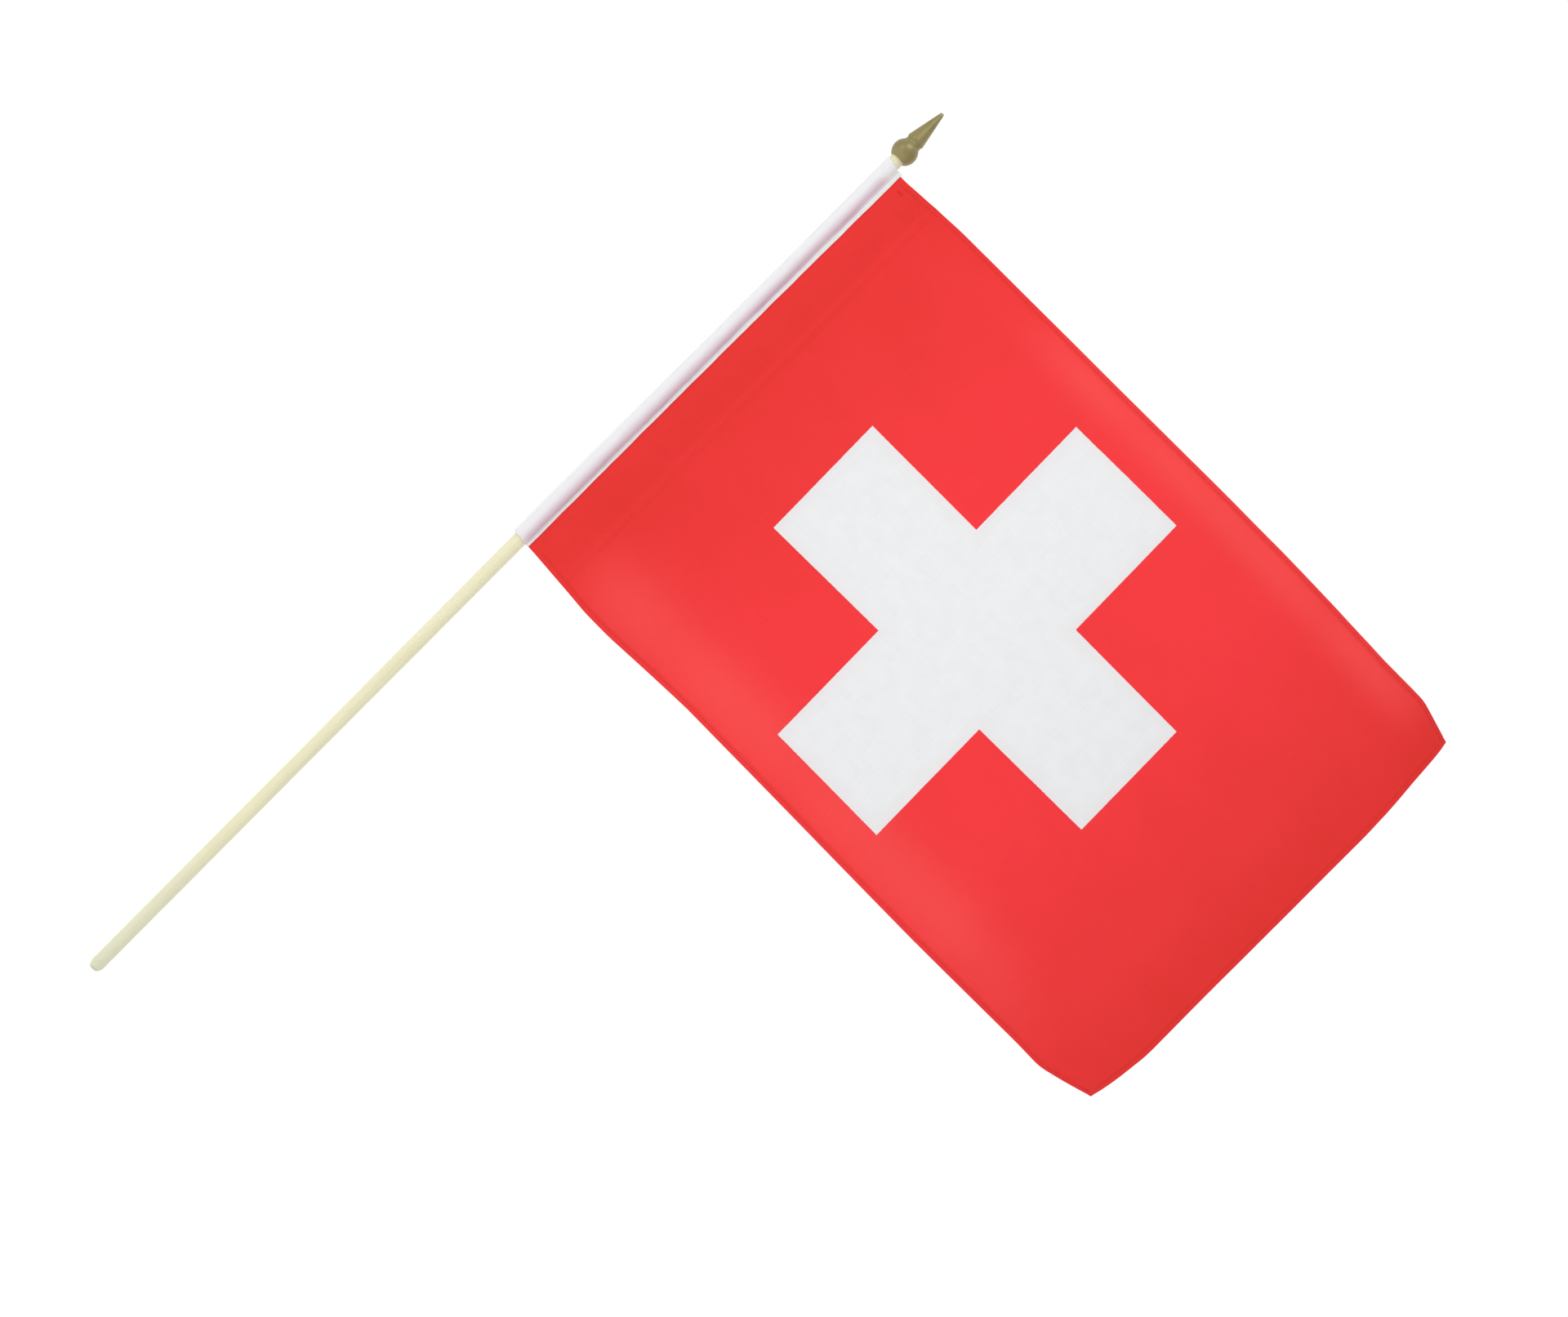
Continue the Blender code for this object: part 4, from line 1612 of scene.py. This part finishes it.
    def inset(self, hem_edge: Hem, run: Array) -> Array:
        """How far inside its edge a hem's row of stitches runs, at each place along it.

        Args:
            hem_edge: the hem.
            run: the places along its edge.

        Returns:
            The distance from the edge at each place.
        """
        start = run - self.bend
        if hem_edge is Hem.TOP:
            return 2.5 * MM + 1.1 * MM * np.exp(-start / (28 * MM)) + 0.12 * MM * wander(run, 83 * MM, 0.1)
        if hem_edge is Hem.BOTTOM:
            return 2.4 * MM + 1.1 * MM * np.exp(-start / (60 * MM)) + 0.12 * MM * wander(run, 91 * MM, 0.8)
        return 3.0 * MM + 0.12 * MM * wander(run, 77 * MM, 1.4)

    def build(self) -> bpy.types.Object:
        """Makes the cloth as one closed sheet that bends beside the sleeve.

        Returns:
            The cloth.
        """
        rim = 0.7 * MM
        across = spaced(self.raw_edge, self.fly, 2.45 * MM, [
            (self.raw_edge, 0.3 * MM, 0.15 * MM),
            (self.bend + 1.5 * MM, 4 * MM, 0.7 * MM),
            (self.crease, 3.6 * MM, 0.8 * MM),
            (self.fly - 2.6 * MM, 2.2 * MM, 0.3 * MM),
            (self.fly, rim, 0.12 * MM),
        ])
        up = spaced(self.foot, self.head, 2.45 * MM, [
            (self.foot + 2.6 * MM, 2.2 * MM, 0.3 * MM),
            (self.foot, rim, 0.12 * MM),
            (self.head - 2.6 * MM, 2.2 * MM, 0.3 * MM),
            (self.head, rim, 0.12 * MM),
        ])
        flat_x, flat_z = np.meshgrid(across, up, indexing="ij")
        front, back = self.faces(flat_x, flat_z)
        to_rim = np.minimum(
            np.minimum(flat_z - self.foot, self.head - flat_z),
            np.minimum(self.fly - flat_x, (flat_x - self.raw_edge) * 2),
        )
        half = rimmed((front + back) / 2, to_rim, self.edge_round)
        uv = np.stack([flat_x, flat_z], axis=2)
        marks = {"hem": self.hem_share(flat_x, flat_z), "paled": self.paled(flat_x, flat_z)}
        sheet = two_faced_sheet(self.middle(flat_x, flat_z), (front - back) / 2, half, uv, marks)
        cloth = sheet.piece("flag_cloth", PrintFinish(self.bend, self.fly).material())
        self.bend_with_sleeve(cloth)
        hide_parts("printed_cloth", "cloth_hoist_strip")
        return cloth

    def bend_with_sleeve(self, piece: bpy.types.Object) -> None:
        """Bakes the piece's transform into its mesh."""
        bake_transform(piece)

    def seen_from(self, side: Side, across: Array, up: Array) -> tuple[Array, Array]:
        """The cloth's surface on one side, and its outward normal, for any flat places.

        The normal is the cross product of two short central differences.

        Args:
            side: the front or the back.
            across: flat places' first part.
            up: flat places' second part, the same shape.

        Returns:
            The places and the normals, each with one more axis of 3.
        """
        step = 0.2 * MM
        along = self.middle(across + step, up) - self.middle(across - step, up)
        upward = self.middle(across, up + step) - self.middle(across, up - step)
        normal = unit(np.cross(along, upward))
        front, back = self.faces(across, up)
        if side is Side.FRONT:
            return self.middle(across, up) + normal * front[..., None], normal
        return self.middle(across, up) - normal * back[..., None], -normal

    def row_line(self, hem_edge: Hem, start: float, end: float) -> tuple[Array, Array, Array]:
        """A hem's row of stitches as flat places.

        Args:
            hem_edge: the edge that it follows.
            start: where the row starts along that edge.
            end: where it ends.

        Returns:
            Across, up and the thread's height over the cloth.
        """
        run, sideways, height = self.row.stations(start, end)
        inset = self.inset(hem_edge, run) + sideways
        if hem_edge is Hem.TOP:
            return run, self.head - inset, height
        if hem_edge is Hem.BOTTOM:
            return run, self.foot + inset, height
        return self.fly - inset, run, height

    def back_tack(self, side: Side) -> Surface:
        """The knot of thread where the top hem's row begins: short passes back and forth over each other.

        The thread swings as a sine along the hem while it climbs slowly, and stands on what it has laid.

        Args:
            side: the face that it lies on.

        Returns:
            The knot's surface.
        """
        t = np.linspace(0.0, 1.0, 150)
        across = self.bend + 5.6 * MM + 1.9 * MM * np.sin(TURN * 5.5 * t) * (1 - 0.3 * t)
        up = self.head - 7.6 * MM + 1.5 * MM * t + 0.25 * MM * np.sin(TURN * 13 * t)
        place, normal = self.seen_from(side, across, up)
        height = 0.06 * MM + 0.05 * MM * np.sin(TURN * 8 * t)
        height[[0, -1]] = -0.2 * MM
        return self.row.thread(place + normal * height[:, None], normal)

    def sew(self, hem_edge: Hem, node: str, name: str, material: bpy.types.Material) -> bpy.types.Object:
        """Makes one thread of a hem, on the face where its node lies.

        Args:
            hem_edge: the hem that it closes.
            node: the frame's thread.
            name: the new piece's name.
            material: the thread's material.

        Returns:
            The thread.
        """
        box = Box.of(node)
        side = Side.of(box)
        start, end = (box.low.z, box.high.z) if hem_edge is Hem.FLY else (box.low.x, box.high.x)
        across, up, height = self.row_line(hem_edge, start, end)
        place, normal = self.seen_from(side, across, up)
        surface = self.row.thread(place + normal * height[:, None], normal)
        if hem_edge is Hem.TOP:
            surface = surface.joined(self.back_tack(side))
        thread = surface.piece(name, material)
        take_place(thread, "cloth", node)
        return thread


@dataclass
class Studio:
    """A pale floor, soft light from a white studio, and the camera."""

    middle: Vector
    floor_radius: float = 2.2
    front_until: float = -0.45
    back_from: float = 0.35
    front_strength: float = 0.335
    back_strength: float = 1.02
    camera_distance: float = 1.2
    camera_aim: tuple[float, float] = (0.1528, 0.3974)
    view_width: float = 0.8828
    lean: float = 44.83

    def build(self) -> None:
        """Makes the floor, the world, the lamps and the camera."""
        self.floor()
        self.world()
        self.lamp("key", (-1.75, -1.85, 0.45), 1.0, 14.0, (0.98, 0.995, 1.02))
        self.lamp("top", (-0.18, -0.75, 1.25), 0.5, 8.0, (1.0, 1.0, 1.0))
        self.lamp("rear", (0.6, 1.3, 0.6), 1.0, 3.0, (1.0, 1.0, 1.0))
        self.pool((-0.45, -1.9, 0.75), 0.33, 19.0)
        self.camera()
        scene = bpy.context.scene
        scene.view_settings.view_transform = "Standard"
        scene.view_settings.look = "None"
        scene.view_settings.exposure = 0.0
        scene.view_settings.gamma = 1.0

    def floor(self) -> None:
        """A round pale floor that the stick's end stands on."""
        angle = TURN * np.arange(96) / 96
        rim = np.stack([
            self.middle.x + self.floor_radius * np.cos(angle),
            self.floor_radius * np.sin(angle),
            np.full_like(angle, -0.2 * MM),
        ], axis=1)
        mesh = bpy.data.meshes.new("studio_floor")
        mesh.from_pydata(rim.tolist(), [], [list(range(len(rim)))])
        bench = NodeBench("studio_floor")
        cloud = bench.noise(bench.coordinates("Object"), 6.0, 2.0)
        white = bench.mix(cloud, (0.93, 0.93, 0.925), (0.95, 0.95, 0.95))
        bench.surface(
            Base_Color=white,
            Roughness=0.9,
            Specular_IOR_Level=0.1,
            Emission_Color=(1.0, 1.0, 1.0, 1.0),
            Emission_Strength=0.3,
        )
        mesh.materials.append(bench.material)
        floor = bpy.data.objects.new("studio_floor", mesh)
        bpy.context.scene.collection.objects.link(floor)

    def world(self) -> None:
        """White behind the flag and dimmer in front of it, as in a room with one white wall."""
        world = bpy.data.worlds.new("studio")
        world.use_nodes = True
        nodes, links = world.node_tree.nodes, world.node_tree.links
        direction = nodes.new("ShaderNodeTexCoord")
        parts = nodes.new("ShaderNodeSeparateXYZ")
        strength = nodes.new("ShaderNodeMapRange")
        strength.interpolation_type = "SMOOTHSTEP"
        ramp = (self.front_until, self.back_from, self.front_strength, self.back_strength)
        for index, value in enumerate(ramp):
            strength.inputs[index + 1].default_value = value
        links.new(direction.outputs["Generated"], parts.inputs[0])
        links.new(parts.outputs[1], strength.inputs[0])
        links.new(strength.outputs[0], nodes["Background"].inputs["Strength"])
        nodes["Background"].inputs["Color"].default_value = (1.0, 1.0, 1.0, 1.0)
        bpy.context.scene.world = world

    def hang(self, data: bpy.types.Light, offset: tuple) -> None:
        """Hangs a lamp at an offset from the flag's middle, facing it.

        Args:
            data: the lamp.
            offset: where it hangs, from the flag's middle.
        """
        lamp = bpy.data.objects.new(data.name, data)
        lamp.location = self.middle + Vector(offset)
        lamp.rotation_euler = (-Vector(offset)).to_track_quat("-Z", "Y").to_euler()
        bpy.context.scene.collection.objects.link(lamp)

    def lamp(self, name: str, offset: tuple, size: float, power: float, colour: Colour) -> None:
        """Adds a square soft lamp that faces the flag's middle.

        Args:
            name: the lamp's name.
            offset: where it hangs, from the flag's middle.
            size: its side in metres.
            power: its power in watts.
            colour: its colour.
        """
        data = bpy.data.lights.new(name, "AREA")
        data.size = size
        data.energy = power
        data.color = colour
        self.hang(data, offset)

    def pool(self, offset: tuple, reach: float, power: float) -> None:
        """Adds a soft spot whose pool of light is brightest on the flag's middle and fades out to its ends.

        Args:
            offset: where it hangs, from the flag's middle.
            reach: how far from the middle its light ends.
            power: its power in watts.
        """
        data = bpy.data.lights.new("pool", "SPOT")
        data.spot_size = 2 * math.atan(reach / Vector(offset).length)
        data.spot_blend = 1.0
        data.shadow_soft_size = 0.2
        data.energy = power
        self.hang(data, offset)

    def camera(self) -> None:
        """Places the camera square to the cloth, rolled so that the stick leans to the right."""
        data = bpy.data.cameras.new("camera")
        data.sensor_width = 36.0
        data.lens = data.sensor_width * self.camera_distance / self.view_width
        camera = bpy.data.objects.new("camera", data)
        lean = math.radians(self.lean)
        right = Vector((math.cos(lean), 0.0, math.sin(lean)))
        upward = Vector((-math.sin(lean), 0.0, math.cos(lean)))
        back = right.cross(upward)
        turn = Matrix((right, upward, back)).transposed().to_4x4()
        place = (self.camera_aim[0], -self.camera_distance, self.camera_aim[1])
        camera.matrix_world = Matrix.Translation(place) @ turn
        bpy.context.scene.collection.objects.link(camera)
        bpy.context.scene.camera = camera


def logged(*pieces: bpy.types.Object) -> list[bpy.types.Object]:
    """Logs each new piece with its number of faces.

    Args:
        pieces: the new pieces.

    Returns:
        The same pieces as a list.
    """
    for piece in pieces:
        log.info("built %s with %d faces", piece.name, len(piece.data.polygons))
    return list(pieces)


def main() -> None:
    """Builds the staff, the sleeve, the cloth and the studio, in that order."""
    logging.basicConfig(level=logging.INFO, format="%(name)s: %(message)s")
    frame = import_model()

    logged(*Staff().build(frame))

    tape_box, stick_box = Box.of("pole_sleeve"), Box.of("wooden_stick")
    sleeve = PoleSleeve(tape_box.low.z, tape_box.high.z, stick_box.high.x)
    (tape,) = logged(sleeve.build())
    white = ThreadFinish("white_thread", (0.84, 0.82, 0.82), (0.74, 0.70, 0.71)).material()
    sleeve_threads = logged(
        sleeve.sew("sleeve_needle_thread", "sleeve_needle_stitches", white),
        sleeve.sew("sleeve_bobbin_thread", "sleeve_bobbin_stitches", white),
    )

    cloth_box, strip_box = Box.of("printed_cloth"), Box.of("cloth_hoist_strip")
    flag = PrintedCloth(strip_box.low.x, cloth_box.low.x, cloth_box.high.x, cloth_box.low.z, cloth_box.high.z)
    flag.simulate()
    (cloth,) = logged(flag.build())
    red = ThreadFinish("red_thread", (0.74, 0.022, 0.024), (0.60, 0.014, 0.016)).material()
    hem_threads = []
    for hem_edge in Hem:
        for kind in ("needle", "bobbin"):
            row = f"{hem_edge.value}_hem_{kind}"
            hem_threads += logged(flag.sew(hem_edge, f"{row}_thread", f"{row}_stitches", red))

    Studio(Vector((0.22, 0.0, 0.45))).build()


if __name__ == "__main__":
    main()
